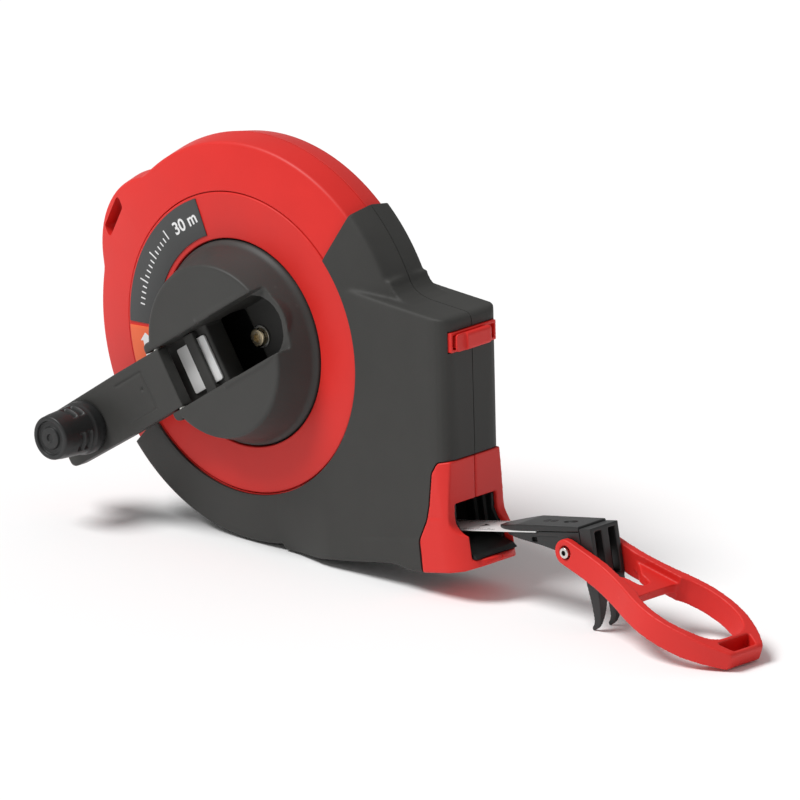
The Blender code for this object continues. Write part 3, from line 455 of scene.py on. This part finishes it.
def makeRings():
    d, s = drum, sideScrew
    ring = turnedPiece("ring_left_face", [(d["ringHole"], d["recess"] + 0.3),
                                          (d["ringHole"], d["ringFace"], 0.5),
                                          (d["ringOut"], d["ringFace"], 0.5),
                                          (d["ringOut"], d["recess"] + 0.3)])
    finishPiece(ring, "case", redPlastic, "red_plastic", "ring_plate_left", sharp=50)
    disc = turnedPiece("disc_right_face", [(0, d["recess"] + 0.3), (0, d["ringFace"] - 0.6),
                                           (20, d["ringFace"] - 0.6, 0.6), (21, d["ringFace"], 0.6),
                                           (d["ringOut"], d["ringFace"], 0.5),
                                           (d["ringOut"], d["recess"] + 0.3)],
                       farSheet)
    finishPiece(disc, "case", redPlastic, "red_plastic", "side_disc_right", sharp=50)
    for number in range(s["count"]):
        turn = math.radians(s["first"] + 360 / s["count"] * number)
        centre = (s["out"] * math.cos(turn), s["out"] * math.sin(turn))
        face = d["ringFace"]
        head = [(0, face + 0.06), (0, face + s["high"]), (1.7, face + 0.6, 0.4),
                (s["radius"], face + 0.15, 0.1), (s["radius"], face + 0.06)]
        screw = turnedPiece("side_screw_%d" % (number + 1), head, farSheet, 40, centre)
        screwSheet = farSheet @ Matrix.Translation((*centre, 0))
        cross = boxOutline(-s["crossHalf"], s["crossHalf"], -s["crossWide"], s["crossWide"])
        for quarter in (0, 1):
            turned = screwSheet @ Matrix.Rotation(quarter * math.pi / 2 + turn, 4, "Z")
            cutBy(screw, plate("cross_tool", cross, face + s["crossFoot"], face + 2, turned))
        finishPiece(screw, "case", platedSteel, "steel", "case_screw_%d" % (number + 1), sharp=35)


labels = {"dark": (103.5, 172, 47.4, 35.2), "orange": (173.5, 194, 47.4, 35.6), "low": 0.05, "high": 0.3,
          "words": "30 m", "wordSize": 5.6, "wordAngle": 114, "wordOut": 41.6, "ticks": 15, "tickStart": 127,
          "tickStep": 2.6, "tickFoot": 41.2, "tickLong": 44.6, "tickShort": 43.0, "tickHalf": 0.22,
          "arrowAngle": 184}


def labelShape(name, start, end, outer, inner, material, slot, node):
    steps = int((end - start) / 1.5)
    outline = arcPoints(outer, start, end, steps) + arcPoints(inner, end, start, steps)
    face = drum["ringFace"]
    piece = plate(name, outline, face + labels["low"], face + labels["high"], edge=0.06, segments=2)
    finishPiece(piece, "case", material, slot, node, sharp=40)


def printedText(name, words, size, angle, out, height):
    text = bpy.data.curves.new(name, "FONT")
    text.body = words
    text.size = size
    text.extrude = 0.02
    text.offset = 0.02 * size
    text.align_x = "CENTER"
    text.align_y = "CENTER"
    text.resolution_u = 6
    piece = bpy.data.objects.new(name, text)
    bpy.context.scene.collection.objects.link(piece)
    mesh = bpy.data.meshes.new_from_object(piece.evaluated_get(bpy.context.evaluated_depsgraph_get()))
    bpy.data.objects.remove(piece, do_unlink=True)
    turn = math.radians(angle)
    at = Matrix.Translation((out * math.cos(turn), out * math.sin(turn), height))
    mesh.transform(sideSheet @ at @ Matrix.Rotation(turn - math.pi / 2, 4, "Z"))
    piece = bpy.data.objects.new(name, mesh)
    bpy.context.scene.collection.objects.link(piece)
    return piece


def makeLabels():
    labelShape("label_dark_film", *labels["dark"], darkLabel, "dark_label", "label_dark")
    labelShape("label_orange_film", *labels["orange"], orangeLabel, "orange_label", "label_orange")
    top = drum["ringFace"] + labels["high"]
    words = printedText("label_length", labels["words"], labels["wordSize"], labels["wordAngle"],
                        labels["wordOut"], top + 0.03)
    finishPiece(words, "case", whitePrint, "dark_label", sharp=30)
    for number in range(labels["ticks"]):
        angle = labels["tickStart"] + labels["tickStep"] * number
        reach = labels["tickLong"] if number % 5 == 0 else labels["tickShort"]
        outline = boxOutline(labels["tickFoot"], reach, -labels["tickHalf"], labels["tickHalf"], 0.15)
        tick = plate("label_tick_%02d" % number, outline, top + 0.01, top + 0.05,
                     sideSheet @ Matrix.Rotation(math.radians(angle), 4, "Z"))
        finishPiece(tick, "case", whitePrint, "dark_label", sharp=30)
    arrow = rounded([(38.0, -3.0, 0.2), (38.0, 3.2, 0.2), (36.8, 3.2, 0.2), (39.4, 5.6, 0.2), (42.0, 3.2, 0.2),
                     (40.8, 3.2, 0.2), (40.8, -3.0, 0.2)])
    pointer = plate("label_arrow", [(x + 1.5, -y) for x, y in arrow], top + 0.01, top + 0.05,
                    sideSheet @ Matrix.Rotation(math.radians(labels["arrowAngle"]), 4, "Z"))
    finishPiece(pointer, "case", whitePrint, "orange_label", sharp=30)


makeDrum()
makeRings()
makeLabels()
print("drum, ring and labels made")

# Jacket, nose and lock
jacket = {"half": 13.4, "flatOut": 49.6, "crease": (65.2, 9.3), "rim": 67.0, "inner": 48.8, "seam": 0.15,
          "voxel": 0.62, "edge": 1.3, "corner": 6.5, "belly": 26.0}
frontTop, frontBand, frontMouth = (88.4, 4.6), (81.5, -37.2), (79.2, -51.0)


# A point on the sloping front at height z, moved out of the face
def frontPoint(z, out=0.0):
    slope = (frontTop[0] - frontMouth[0]) / (frontTop[1] - frontMouth[1])
    lean = math.atan(slope)
    return frontMouth[0] + (z - frontMouth[1]) * slope + out * math.cos(lean), z - out * math.sin(lean)


def frontBlock(lowZ, highZ, inner, outer):
    return [frontPoint(lowZ, inner), frontPoint(lowZ, outer), frontPoint(highZ, outer),
            frontPoint(highZ, inner)]


# Side view of the squared front with the belly that runs into the foot
def squareFront():
    belly = smoothLine([(2, -66.9), (10, -67.9), (20, -68.9), (32, -69.5), (48, -69.6), (53, -70.0),
                        (57.5, -71.5), (61, -72.2), (64, -72.3)], 4)
    front = [(84, -72.3), (84, -45), frontBand, (frontTop[0] + 0.25, 8.0, 2.6), (66.5, 13.4), (50, 17.7),
             (30, 10), (10, -40)]
    return belly + rounded(front, closed=False)


# Side view of the red nose: band over the mouth, cheeks and the toe with the landing pad
def noseSide(grow=0.0):
    back = rounded([(64.9, -72.3), (65.5, -61.8, 3), (69.7, -55.7, 4), (71.6, -51.0), (74.6, -40.5, 4),
                    (77.5, -37.2, 1.4), (81.5, -37.2)], closed=False)
    if grow:
        back = [(x - grow, z + grow) for x, z in back]
        return [(back[0][0], -76)] + back[:-1] + [(92, -37.2 + grow), (92, -76)]
    toe = smoothLine([(79.2, -51.0), (78.6, -56.0), (79.6, -58.6), (82.0, -60.6), (86.0, -62.0), (88.2, -62.6)],
                     5)
    return back + toe + [(88.2, -69.8), (85, -71.3), (81, -72.1), (76, -72.3)]


def coneHeight(radius):
    slope = (jacket["half"] - jacket["crease"][1]) / (jacket["crease"][0] - jacket["flatOut"])
    return jacket["half"] - (radius - jacket["flatOut"]) * slope


def makeJackets():
    j = jacket
    body = turnedPiece("jacket_left_skin", [(44, -4), (44, j["half"]), (j["flatOut"], j["half"], 2.0),
                                            (*j["crease"], 1.6), (j["rim"], 0), (j["rim"], -4)])
    front = plate("front_tool", squareFront(), -5, j["half"], edge=j["edge"], segments=4, limit=50)
    slope = (frontTop[0] - frontMouth[0]) / (frontTop[1] - frontMouth[1])
    faceX = frontPoint(0)[0]
    plan = rounded([(0, -j["half"]), (faceX, -j["half"], j["corner"]), (faceX, 20), (0, 20)])
    leaning = Matrix(((1, 0, slope, 0), (0, 1, 0, 0), (0, 0, 1, 0), (0, 0, 0, 1)))
    keptIn(front, plate("front_plan", plan, -90, 30, leaning))
    fillet = [(58, 8), (58, 19.8), (64.0, 19.8), (64.6, 17.4), (66.2, 15.1), (68.5, 13.5), (71.5, 12.25),
              (71.5, 8)]
    joinedTo(body, front, plate("fillet_tool", fillet, -5, 8.8))
    moulded(body, j["voxel"], 5)
    co = pointsOf(body)
    height = -co[:, 1]
    radius = np.hypot(co[:, 0], co[:, 2])
    swell = ease((co[:, 0] - 1) / j["belly"])
    cap = coneHeight(radius) * (1 - swell) + j["half"] * swell
    low = (co[:, 2] < -20) & (height > 5)
    height = np.where(low, np.minimum(height, cap), height)
    band = ease((-61.2 - co[:, 2]) / 1.0) * ease((co[:, 0] - 34) / 14) * ease((height - 8) / 4)
    height = height + 0.35 * band
    co[:, 1] = -height
    floorLine = (-1000 * reelCentre.z - co[:, 0] * math.sin(noseUp)) / math.cos(noseUp)
    co[:, 2] = np.maximum(co[:, 2], floorLine)
    movePoints(body, co)
    wedge = [(36.9, 21.7)] + arcPoints(95, 43.2, 211, 24) + arcPoints(40, 211, 211, 1)[:1]
    drumRoom = [(0, 20), (j["inner"], 20), (j["inner"], drum["coneTop"] + 0.3), (63.7, 8.8), (65.3, 0),
                (65.3, -9), (0, -9)]
    tray = plate("tray_tool", frontBlock(-2.9, 4.0, -6, 4), -10.6, 10.6)
    cutBy(body, plate("wedge_tool", wedge, -20, 20), turnedPiece("drum_tool", drumRoom, steps=180),
          plate("nose_tool", noseSide(0.3), -20, 20), tray, plate("blade_tool", bladeCut, -7, 7),
          plate("seam_tool", [(-90, -95), (120, -95), (120, 95), (-90, 95)], -20, j["seam"]),
          plate("pocket_tool", [(60, -66), (74, -66), (75.5, -50.6), (60, -50.6)], -9.9, 9.9))
    twin = mirrored(body, "jacket_right_skin")
    finishPiece(body, "case", darkRubber, "dark_plastic", "jacket_left", sharp=42)
    finishPiece(twin, "case", darkRubber, "dark_plastic", "jacket_right", sharp=42)


nose = {"half": 13.4, "toeHalf": 13.6, "toeAt": 74.5, "toeLong": 12.8, "voxel": 0.36, "mouthHalf": 9.6}


def makeNoses():
    n = nose
    upper = plate("nose_left_shell", [p for p in noseSide() if p[1] > -64] + [(80, -64), (65.3, -64)], 0.15,
                  n["half"])
    toe = plate("nose_toe", [p for p in noseSide() if p[1] < -54.0] + [], 0.15, n["toeHalf"])
    plan = [(40, -n["toeHalf"])] + arcPoints(n["toeLong"], -90, 90, 40, (n["toeAt"], 0), n["toeHalf"])
    joinedTo(upper, toe)
    keptIn(upper, plate("toe_plan", plan + [(40, n["toeHalf"])], -90, -30, planSheet))
    way = [(60, -61.4), (66, -61.4), (66, -64.0), (77.6, -66.6), (83.4, -69.0), (92, -69.0), (92, -66.9),
           (92, -51.0), (60, -51.0)]
    cutBy(upper, plate("mouth_tool", way, -n["mouthHalf"], n["mouthHalf"]))
    moulded(upper, n["voxel"], 4)
    cutBy(upper, plate("seam_tool", [(40, -95), (120, -95), (120, 95), (40, 95)], -20, 0.15))
    twin = mirrored(upper, "nose_right_shell")
    finishPiece(upper, "case", redPlastic, "red_plastic", "nose_left", sharp=60)
    finishPiece(twin, "case", redPlastic, "red_plastic", "nose_right", sharp=60)


def makeMouth():
    half = nose["mouthHalf"] - 0.3
    floor = rounded([(66.4, -62.2), (77.8, -64.4, 3), (84.2, -67.4, 1.2), (85.3, -68.8, 0.2), (83.5, -68.8),
                     (77.5, -66.2), (66.4, -63.7)])
    liner = plate("mouth_liner_shell", floor, -half, half)
    cheek = [(66.4, -51.3), (78.2, -51.3), (77.6, -56.2), (78.8, -59.4), (80.2, -61.2), (80.2, -66.2),
             (77.8, -65.2), (66.4, -62.6)]
    walls = [plate("cheek_tool", cheek, low, low + 1.2) for low in (-half, half - 1.2)]
    for start in (70.4, 74.2):
        rib = [(start, -51.3), (start + 0.9, -51.3), (start + 0.9, -64.2), (start, -63.9)]
        walls += [plate("rib_tool", rib, low, low + 1.5) for low in (-half + 0.6, half - 2.1)]
    joinedTo(liner, *walls)
    moulded(liner, 0.3, 2)
    finishPiece(liner, "case", mouthBlack, "black_plastic", "mouth_liner", sharp=50)


# along the front, out of it, and across: low and high, in and out, near and far
lock = {"frame": (-2.6, 3.7, -2.3, 0.55, 10.3), "well": (-1.7, 2.8, -1.2, 3.0, 9.5),
        "hole": (-0.9, 2.0, -6.0, 3.0, 5.5), "cap": (-2.3, 3.4, 0.75, 2.9), "capNear": -6.3, "capFar": 9.3,
        "foot": (-1.4, 2.5, -0.9, 1.6), "footNear": -5.6, "footFar": 8.6}


def lockBlock(name, low, high, inner, outer, half):
    return plate(name, frontBlock(low, high, inner, outer), -half, half)


def makeLock():
    tray = lockBlock("lock_tray_frame", *lock["frame"])
    cutBy(tray, lockBlock("well_tool", *lock["well"]), lockBlock("hole_tool", *lock["hole"]))
    moulded(tray, 0.2, 3)
    finishPiece(tray, "case", redPlastic, "red_plastic", "lock_tray", sharp=60)
    slider = plate("lock_slider_button", frontBlock(*lock["foot"]), lock["footNear"], lock["footFar"])
    cap = plate("cap_tool", frontBlock(*lock["cap"]), lock["capNear"], lock["capFar"], edge=1.1, segments=4)
    joinedTo(slider, cutBy(cap, plate("step_tool", frontBlock(-3, 4.4, 2.0, 5), 5.2, 12)))
    moulded(slider, 0.18, 4)
    finishPiece(slider, "lock", redPlastic, "red_plastic", "lock_slider", sharp=60)


makeJackets()
makeNoses()
makeMouth()
makeLock()
print("jacket, nose, mouth and lock made")

# Hub
hub = {"disc": 27.4, "base": 32.9, "face": 25.9, "back": 1.0, "half": 10.25, "pocketEnd": 28.25,
       "pocketFloor": 3.3, "channel": 17.2, "armRoom": 21.0, "voxel": 0.42}


def pocketOutline(half, end, start):
    return arcPoints(half, 90, 270, 24, (-(end - half), 0)) + [(start, -half), (start, half)]


def makeHub():
    h = hub
    dome = turnedPiece("crank_hub_dome", [(0, h["face"]), (h["disc"] + 0.2, h["face"], 0.9),
                                          (h["base"] - 1.3, 14.0, 2.5), (h["base"], 12.6, 0.6),
                                          (h["base"], 8.2), (30.9, 8.2), (30.9, h["back"]), (28.6, h["back"]),
                                          (28.6, 13.0), (25.0, 22.6), (0, 22.6)], crankSheet, 144)
    lug = plate("lug_tool", pocketOutline(h["half"] + 2.0, h["pocketEnd"] + 2.2, 2), h["back"], h["face"] + 0.5,
                crankSheet, edge=1.0, segments=3, limit=50)
    ears = plate("ear_tool", boxOutline(10, hingeOut + 4.0, -h["half"] - 3.2, h["half"] + 3.2, 2.2), 13.0,
                 h["face"], crankSheet, edge=1.4, segments=3, limit=50)
    sill = plate("sill_tool", boxOutline(0, 25.5, -h["half"] - 1.2, h["half"] + 1.2), 9.5, h["face"] - 1,
                 crankSheet)
    joinedTo(dome, lug, ears, sill)
    cutBy(dome, plate("channel_tool", boxOutline(-10, 60, -h["half"], h["half"]), h["channel"], 40, crankSheet),
          plate("pocket_tool", pocketOutline(h["half"], h["pocketEnd"], 7.0), h["pocketFloor"], 40, crankSheet),
          plate("rest_tool", boxOutline(-45, -5, -h["half"] - 0.15, h["half"] + 0.15), h["armRoom"], 40,
                crankSheet),
          plate("screw_tool", arcPoints(1.9, 0, 350, 35), -5, 12, crankSheet),
          plate("pin_tool", arcPoints(1.5, 0, 345, 23), -14.5, 14.5, pinSheet))
    moulded(dome, h["voxel"], 3)
    finishPiece(dome, "reel", hubPlastic, "dark_plastic", "crank_hub", sharp=60)


def makeHubInside():
    h = hub
    floor = h["channel"]
    leaf = plate("detent_leaf_strip", boxOutline(8.6, 22.4, -7.6, 7.6, 0.8), floor + 0.1, floor + 0.8,
                 crankSheet, edge=0.15, segments=2)
    finishPiece(leaf, "reel", whiteAcetal, "white_acetal", "detent_leaf", sharp=40)
    bridge = plate("hub_bridge_bar", boxOutline(11.6, 16.0, -h["half"] + 0.3, h["half"] - 0.3, 0.5),
                   floor + 0.1, floor + 2.3, crankSheet)
    cutBy(bridge, plate("gap_tool", boxOutline(5, 20, -8.2, 8.2), floor - 1, floor + 1.1, crankSheet))
    moulded(bridge, 0.22, 3)
    finishPiece(bridge, "reel", hubPlastic, "dark_plastic", "hub_bridge", sharp=60)
    screw = turnedPiece("hub_screw_head", [(0, -0.8), (0, 5.6), (2.6, 5.6, 0.3), (3.0, 5.2, 0.2), (3.0, 4.1),
                                           (1.6, 4.1), (1.6, -0.8)], crankSheet, 60)
    star = [((1.5 if i % 4 < 2 else 1.12) * math.cos(math.radians(15 * i)),
             (1.5 if i % 4 < 2 else 1.12) * math.sin(math.radians(15 * i))) for i in range(24)]
    cutBy(screw, plate("star_tool", star, 4.3, 8, crankSheet))
    finishPiece(screw, "reel", yellowZinc, "yellow_zinc", "hub_screw", sharp=35)
    washer = turnedPiece("hub_washer_ring", [(1.9, 3.4), (3.6, 3.4, 0.1), (3.6, 3.9, 0.1), (1.9, 3.9)],
                         crankSheet, 60)
    finishPiece(washer, "reel", platedSteel, "steel", "hub_washer", sharp=35)
    pin = turnedPiece("hinge_pin_rod", [(0, -12.8), (1.3, -12.8, 0.3), (1.3, 12.8, 0.3), (0, 12.8)], pinSheet,
                      40)
    finishPiece(pin, "reel", platedSteel, "steel", "hinge_pin", sharp=35)


# Crank
knob = {"long": 17.5, "bore": 2.3, "waist": 7.9, "grooves": ((5.4, 1.3), (8.4, 1.3)), "grooveDeep": 1.0}
arm = {"halfThick": 2.3, "halfWide": 9.8, "tipHalf": 9.2, "end": 78.0, "heel": 2.2}


def makeArm():
    low, high = hingeUp - arm["halfThick"], hingeUp + arm["halfThick"]
    start = hingeOut - arm["heel"]
    wide, tip, end = arm["halfWide"], arm["tipHalf"], arm["end"]
    outline = rounded([(start, -wide), (hingeOut + 20, -wide, 12), (end, -tip, 2.6), (end, tip, 2.6),
                       (hingeOut + 20, wide, 12), (start, wide)])
    piece = plate("crank_arm_bar", outline, low, high, crankSheet)
    ring = plate("panel_tool", boxOutline(hingeOut + 8.4, hingeOut + 22, -6.6, 6.6, 0.6), high - 0.35, high + 2,
                 crankSheet)
    cutBy(ring, plate("panel_core", boxOutline(hingeOut + 9.1, hingeOut + 26, -5.9, 5.9, 0.4), high - 1,
                      high + 3, crankSheet))
    dimple = plate("dimple_tool", arcPoints(0.75, 0, 345, 23, (hingeOut + 11.2, -1.2)), high - 0.5, high + 2,
                   crankSheet)
    cutBy(piece, ring, dimple, plate("pin_tool", arcPoints(1.6, 0, 345, 23), -14, 14, pinSheet),
          plate("spindle_tool", arcPoints(2.3, 0, 350, 35, (knobOut, 0)), low - 1, high + 1, crankSheet),
          plate("seat_tool", arcPoints(4.4, 0, 350, 35, (knobOut, 0)), low - 1, low + 1.5, crankSheet))
    moulded(piece, 0.3, 3)
    finishPiece(piece, "crank", hubPlastic, "dark_plastic", "crank_arm", sharp=60)
    top = high + knob["long"]
    rod = turnedPiece("knob_spindle_rivet", [(0, low + 0.2), (4.1, low + 0.2, 0.3), (4.1, low + 1.3),
                                             (2.0, low + 1.3), (2.0, top - 3.2), (0, top - 3.2)], crankSheet,
                                             48, (knobOut, 0))
    finishPiece(rod, "crank", platedSteel, "steel", "knob_spindle", sharp=35)


def knobProfile(angle):
    k = knob
    low = hingeUp + arm["halfThick"] + 0.3
    shape = rounded([(k["bore"], low), (8.3, low, 0.5), (8.5, low + 1.4, 0.8), (8.4, low + 4.0, 1.5),
                     (k["waist"], low + 5.0, 1.5)],
                    closed=False)
    rise = [low + 5.0 + 0.3 * i for i in range(1, 32)]
    slots = 0.0
    for centre in (45, 135, 225, 315):
        slots = max(slots, float(ease(np.array((26 - abs(angle - centre)) / 8))))
    side = []
    for height in rise:
        t = (height - low - 5.0) / 10.0
        r = k["waist"] - 0.6 * t
        for middle, wide in k["grooves"]:
            near = abs(height - low - 1.6 - middle)
            r -= k["grooveDeep"] * slots * float(ease(np.array((wide - near) / 0.5)))
        side.append((r, height))
    top = hingeUp + arm["halfThick"] + k["long"]
    face = rounded([(7.2, top - 2.2), (7.0, top, 1.5), (5.6, top, 0.3), (5.3, top - 0.9, 0.3),
                    (3.7, top - 0.9, 0.3), (3.4, top - 0.1, 0.3), (1.4, top - 0.1, 0.2), (1.2, top - 0.6, 0.1),
                    (0, top - 0.6)], closed=False)
    return shape + side + face + [(0, top - 2.8), (k["bore"], top - 2.8)]


def makeKnob():
    piece = swept("crank_knob", knobProfile, crankSheet, 144, (knobOut, 0))
    finishPiece(piece, "knob_body", blackPlastic, "black_plastic", "knob", sharp=45)


makeHub()
makeHubInside()
makeArm()
makeKnob()
print("hub, crank and knob made")

# Blade and hook block
rivet = {"bore": 0.85, "radius": 1.75, "half": 9.9, "hole": 2.2}
blade = {"half": 6.5, "z": -60.0, "thick": 0.4, "rear": 20.0, "front": 109.0, "block": 89.0, "plateBack": 127.6,
         "plateFront": 132.4, "tipZ": -91.6, "tickStart": 62.0, "tickHalf": 0.1}


def makeBlade():
    b = blade
    top = b["z"] + b["thick"] / 2
    strip = plate("tape_blade", boxOutline(b["rear"], b["front"], -b["half"], b["half"]), top - b["thick"], top,
                  planSheet, edge=0.12, segments=2)
    finishPiece(strip, "tape_end", bladeLacquer, "tape", "tape_strip", sharp=40)
    marks = []
    for step in range(40):
        x = b["tickStart"] + step
        reach = 3.6 if step % 10 == 0 else (2.8 if step % 5 == 0 else 1.8)
        if x > b["block"] + 1:
            break
        marks.append((x, -b["half"] + 0.15, -b["half"] + reach))
        marks.append((x, b["half"] - reach, b["half"] - 0.15))
    points, faces = [], []
    for x, low, high in marks:
        for z in (top + 0.01, top + 0.04):
            first = len(points)
            left, right = x - b["tickHalf"], x + b["tickHalf"]
            points += [(left, low, z), (right, low, z), (right, high, z), (left, high, z)]
        bottom = first - 4
        faces += [[bottom + i for i in range(4)], [first + i for i in range(4)]]
        faces += [(bottom + i, bottom + (i + 1) % 4, first + (i + 1) % 4, first + i) for i in range(4)]
    ticks = newPiece("tape_ticks", points, faces, planSheet)
    finishPiece(ticks, "tape_end", bladeInk, "tape", sharp=30)
    start = rounded([(80.2, -1.7), (83.8, 0), (80.2, 1.7), (81.2, 0)])
    arrow = plate("tape_arrow", start, top + 0.01, top + 0.05, planSheet)
    finishPiece(arrow, "tape_end", bladeInk, "tape", sharp=30)


def blockPlan():
    b = blade["block"]
    half = smoothLine([(b, 0.3), (b + 0.6, 1.6), (b + 2.5, 3.2), (b + 6, 5.0), (b + 12, 6.45), (b + 20, 6.5)],
                      5)
    return half + [(140, 6.5), (140, -6.5)] + [(x, -y) for x, y in reversed(half)]


def makeBlock():
    b = blade
    split = b["z"] + b["thick"] / 2 + 0.1
    under = b["z"] - b["thick"] / 2 - 0.1
    rear, back = b["block"], b["plateBack"] - 0.3
    upper = plate("hook_block_top", rounded([(rear, split), (back, split), (back, split + 1.6, 0.4),
                                             (rear + 12, split + 2.0, 6), (rear + 1, split + 0.8, 0.5)]), -7, 7)
    keptIn(upper, plate("plan_tool", blockPlan(), -90, -40, planSheet))
    oval = arcPoints(2.6, 0, 345, 23, (rear + 29.5, 0), 1.5)
    tools = [plate("oval_tool", oval, split + 1.1, split + 4, planSheet)]
    for x in (19.5, 22.6):
        ring = plate("ring_tool", arcPoints(1.25, 0, 345, 23, (rear + x, 0)), split + 1.55, split + 4,
                     planSheet)
        cutBy(ring, plate("ring_core", arcPoints(0.8, 0, 345, 23, (rear + x, 0)), split + 1, split + 5,
                          planSheet))
        tools.append(ring)
    cutBy(upper, *tools)
    moulded(upper, 0.2, 3)
    finishPiece(upper, "tape_end", blackPlastic, "black_plastic", "hook_block_upper", sharp=60)
    lowerSide = rounded([(rear + 7, under), (rear + 7, under - 0.8), (rear + 22, -64.3, 8),
                         (rear + 29, -66.2, 4), (rivetAt.x - 2.5, -69.0, 1), (rivetAt.x + 2.0, -69.4, 1),
                         (back, -68.4), (back, split - 0.2), (rear + 21, split - 0.2), (rear + 21, under)])
    lower = plate("hook_block_base", lowerSide, -7, 7)
    keptIn(lower, plate("plan_tool", blockPlan(), -90, -40, planSheet))
    notches = [plate("notch_tool", boxOutline(107, 109.2, -63.2, -61.6), low, low + 4) for low in (-9.2, 5.2)]
    notches += [plate("line_tool", boxOutline(98, 118.5, -61.35, -61.05), low, low + 3) for low in (-9.1, 6.1)]
    cutBy(lower, plate("rivet_tool", arcPoints(rivet["hole"], 0, 350, 35, (rivetAt.x, rivetAt.z)), -12, 12),
          *notches)
    moulded(lower, 0.2, 3)
    finishPiece(lower, "tape_end", blackPlastic, "black_plastic", "hook_block_lower", sharp=60)


def makeClaws():
    b = blade
    back, front, tip = b["plateBack"], b["plateFront"], b["tipZ"]
    near = smoothLine([(6.4, -77.0), (5.9, -80.0), (5.0, -86.0), (3.9, tip - 0.4)], 4)
    inner = smoothLine([(3.5, tip - 0.4), (2.4, -85.6), (1.9, -82.4), (1.3, -80.4)], 4)
    crotch = arcPoints(1.3, 0, 180, 10, (0, -80.3))
    half = near + inner
    face = [(-6.4, -58.7), (6.4, -58.7)] + half + crotch[1:-1] + [(-y, z) for y, z in reversed(half)]
    body = plate("claw_plate_shell", face, back - 4, front + 1, frontSheet)
    hook = smoothLine([(front, -74.0), (front - 0.8, -80.0), (front - 2.0, -86.0), (back + 0.9, -90.0),
                       (back - 1.6, tip + 0.1), (back - 2.5, tip + 0.1)], 5)
    inside = smoothLine([(back - 2.6, tip + 0.8), (back - 0.9, -88.6), (back - 0.2, -84.0), (back, -78.0)], 5)
    side = [(back, -58.0), (front, -58.0)] + hook + inside
    keptIn(body, plate("side_tool", side, -12, 12))
    tools = []
    for y in (-3.1, 3.1):
        tools.append(plate("groove_tool", boxOutline(y - 1.55, y + 1.55, -74.5, -60.0), back + 1.5, front + 3,
                           frontSheet))
        tools.append(plate("window_tool", boxOutline(y - 1.3, y + 1.3, -73.6, -66.6), 110, 150, frontSheet))
    cutBy(body, *tools)
    moulded(body, 0.22, 3)
    finishPiece(body, "tape_end", blackPlastic, "black_plastic", "claw_plate", sharp=60)


def makeRivet():
    r = rivet
    profile = [(r["bore"], -r["half"]), (r["radius"], -r["half"], 0.3), (r["radius"], r["half"], 0.3),
               (r["bore"], r["half"])]
    tube = turnedPiece("handle_rivet_tube", profile, sideSheet, 60, (rivetAt.x, rivetAt.z))
    finishPiece(tube, "tape_end", platedSteel, "steel", "handle_rivet", sharp=35)


# Pull handle
handle = {"drop": 29.2, "long": 70.6, "half": 4.2, "web": 1.6}


def makeHandle():
    h = handle
    tilt = Matrix.Translation((rivetAt.x, 0, rivetAt.z)) @ Matrix.Rotation(math.radians(h["drop"]), 4, "Y")
    outer = smoothLine([(-4.3, 9.4), (8, 9.4), (16, 10.0), (25, 12.0), (33, 14.6), (41, 16.2), (49, 16.0),
                        (57, 14.2), (64, 11.4), (h["long"], 7.2)], 5)
    body = plate("pull_handle_loop", outer + [(x, -y) for x, y in reversed(outer)], -6, 6, tilt)
    sideLine = arcPoints(h["half"], 90, 270, 18) + [(30, -h["half"] - 0.15), (56, -h["half"] + 0.1)]
    sideLine += rounded([(56.5, -h["half"] + 0.1), (h["long"] - 0.2, -2.6, 1.2), (h["long"], 3.2, 1.6),
                         (56, h["half"])], closed=False) + [(30, h["half"])]
    keptIn(body, plate("side_tool", sideLine, -20, 20, tilt @ sideSheet))
    fork = smoothLine([(12, 6.8), (16.6, 6.7), (19.2, 4.9), (21.5, 3.2), (24, 2.7), (26, 1.8), (26.7, 0)], 5)
    fork = [(-8, 6.8)] + fork + [(x, -y) for x, y in reversed(fork[:-1])] + [(-8, -6.8)]
    opening = smoothLine([(30.5, 3), (30.9, 9.0), (33, 11.2), (36, 12.4), (42, 13.5), (49, 13.2), (56, 11.2),
                          (60.5, 8.2), (62.3, 4.6), (62.5, 1.5)], 5)
    opening = opening + [(x, -y) for x, y in reversed(opening)]
    web = [(14, 6.7), (31.4, 10.2), (31.4, -10.2), (14, -6.7)]
    recess = rounded([(63.8, 7.4, 0.8), (63.8, -7.4, 0.8), (69.0, -5.2, 0.8), (69.0, 5.2, 0.8)])
    cutBy(body, plate("fork_tool", fork, -9, 9, tilt), plate("finger_tool", opening, -9, 9, tilt),
          plate("web_top", web, h["web"], 9, tilt), plate("web_low", web, -9, -h["web"], tilt),
          plate("recess_tool", recess, -1.8, 9, tilt),
          plate("rivet_tool", arcPoints(rivet["hole"], 0, 350, 35, (rivetAt.x, rivetAt.z)), -12, 12))
    moulded(body, 0.34, 4)
    finishPiece(body, "handle", redPlastic, "red_plastic", "pull_handle", sharp=60)


makeBlade()
makeBlock()
makeClaws()
makeRivet()
makeHandle()
print("blade, hook block, claws and handle made")

# Hidden pieces keep their own shape and take the finer finishes
for nodeName, finish in (("spool_core", blackPlastic), ("flange_left", blackPlastic),
                         ("flange_right", blackPlastic), ("tape_coil", bladeLacquer),
                         ("journal_bush", whiteAcetal), ("lock_stem", blackPlastic)):
    for slotIndex in range(len(nodes[nodeName].material_slots)):
        nodes[nodeName].material_slots[slotIndex].material = finish
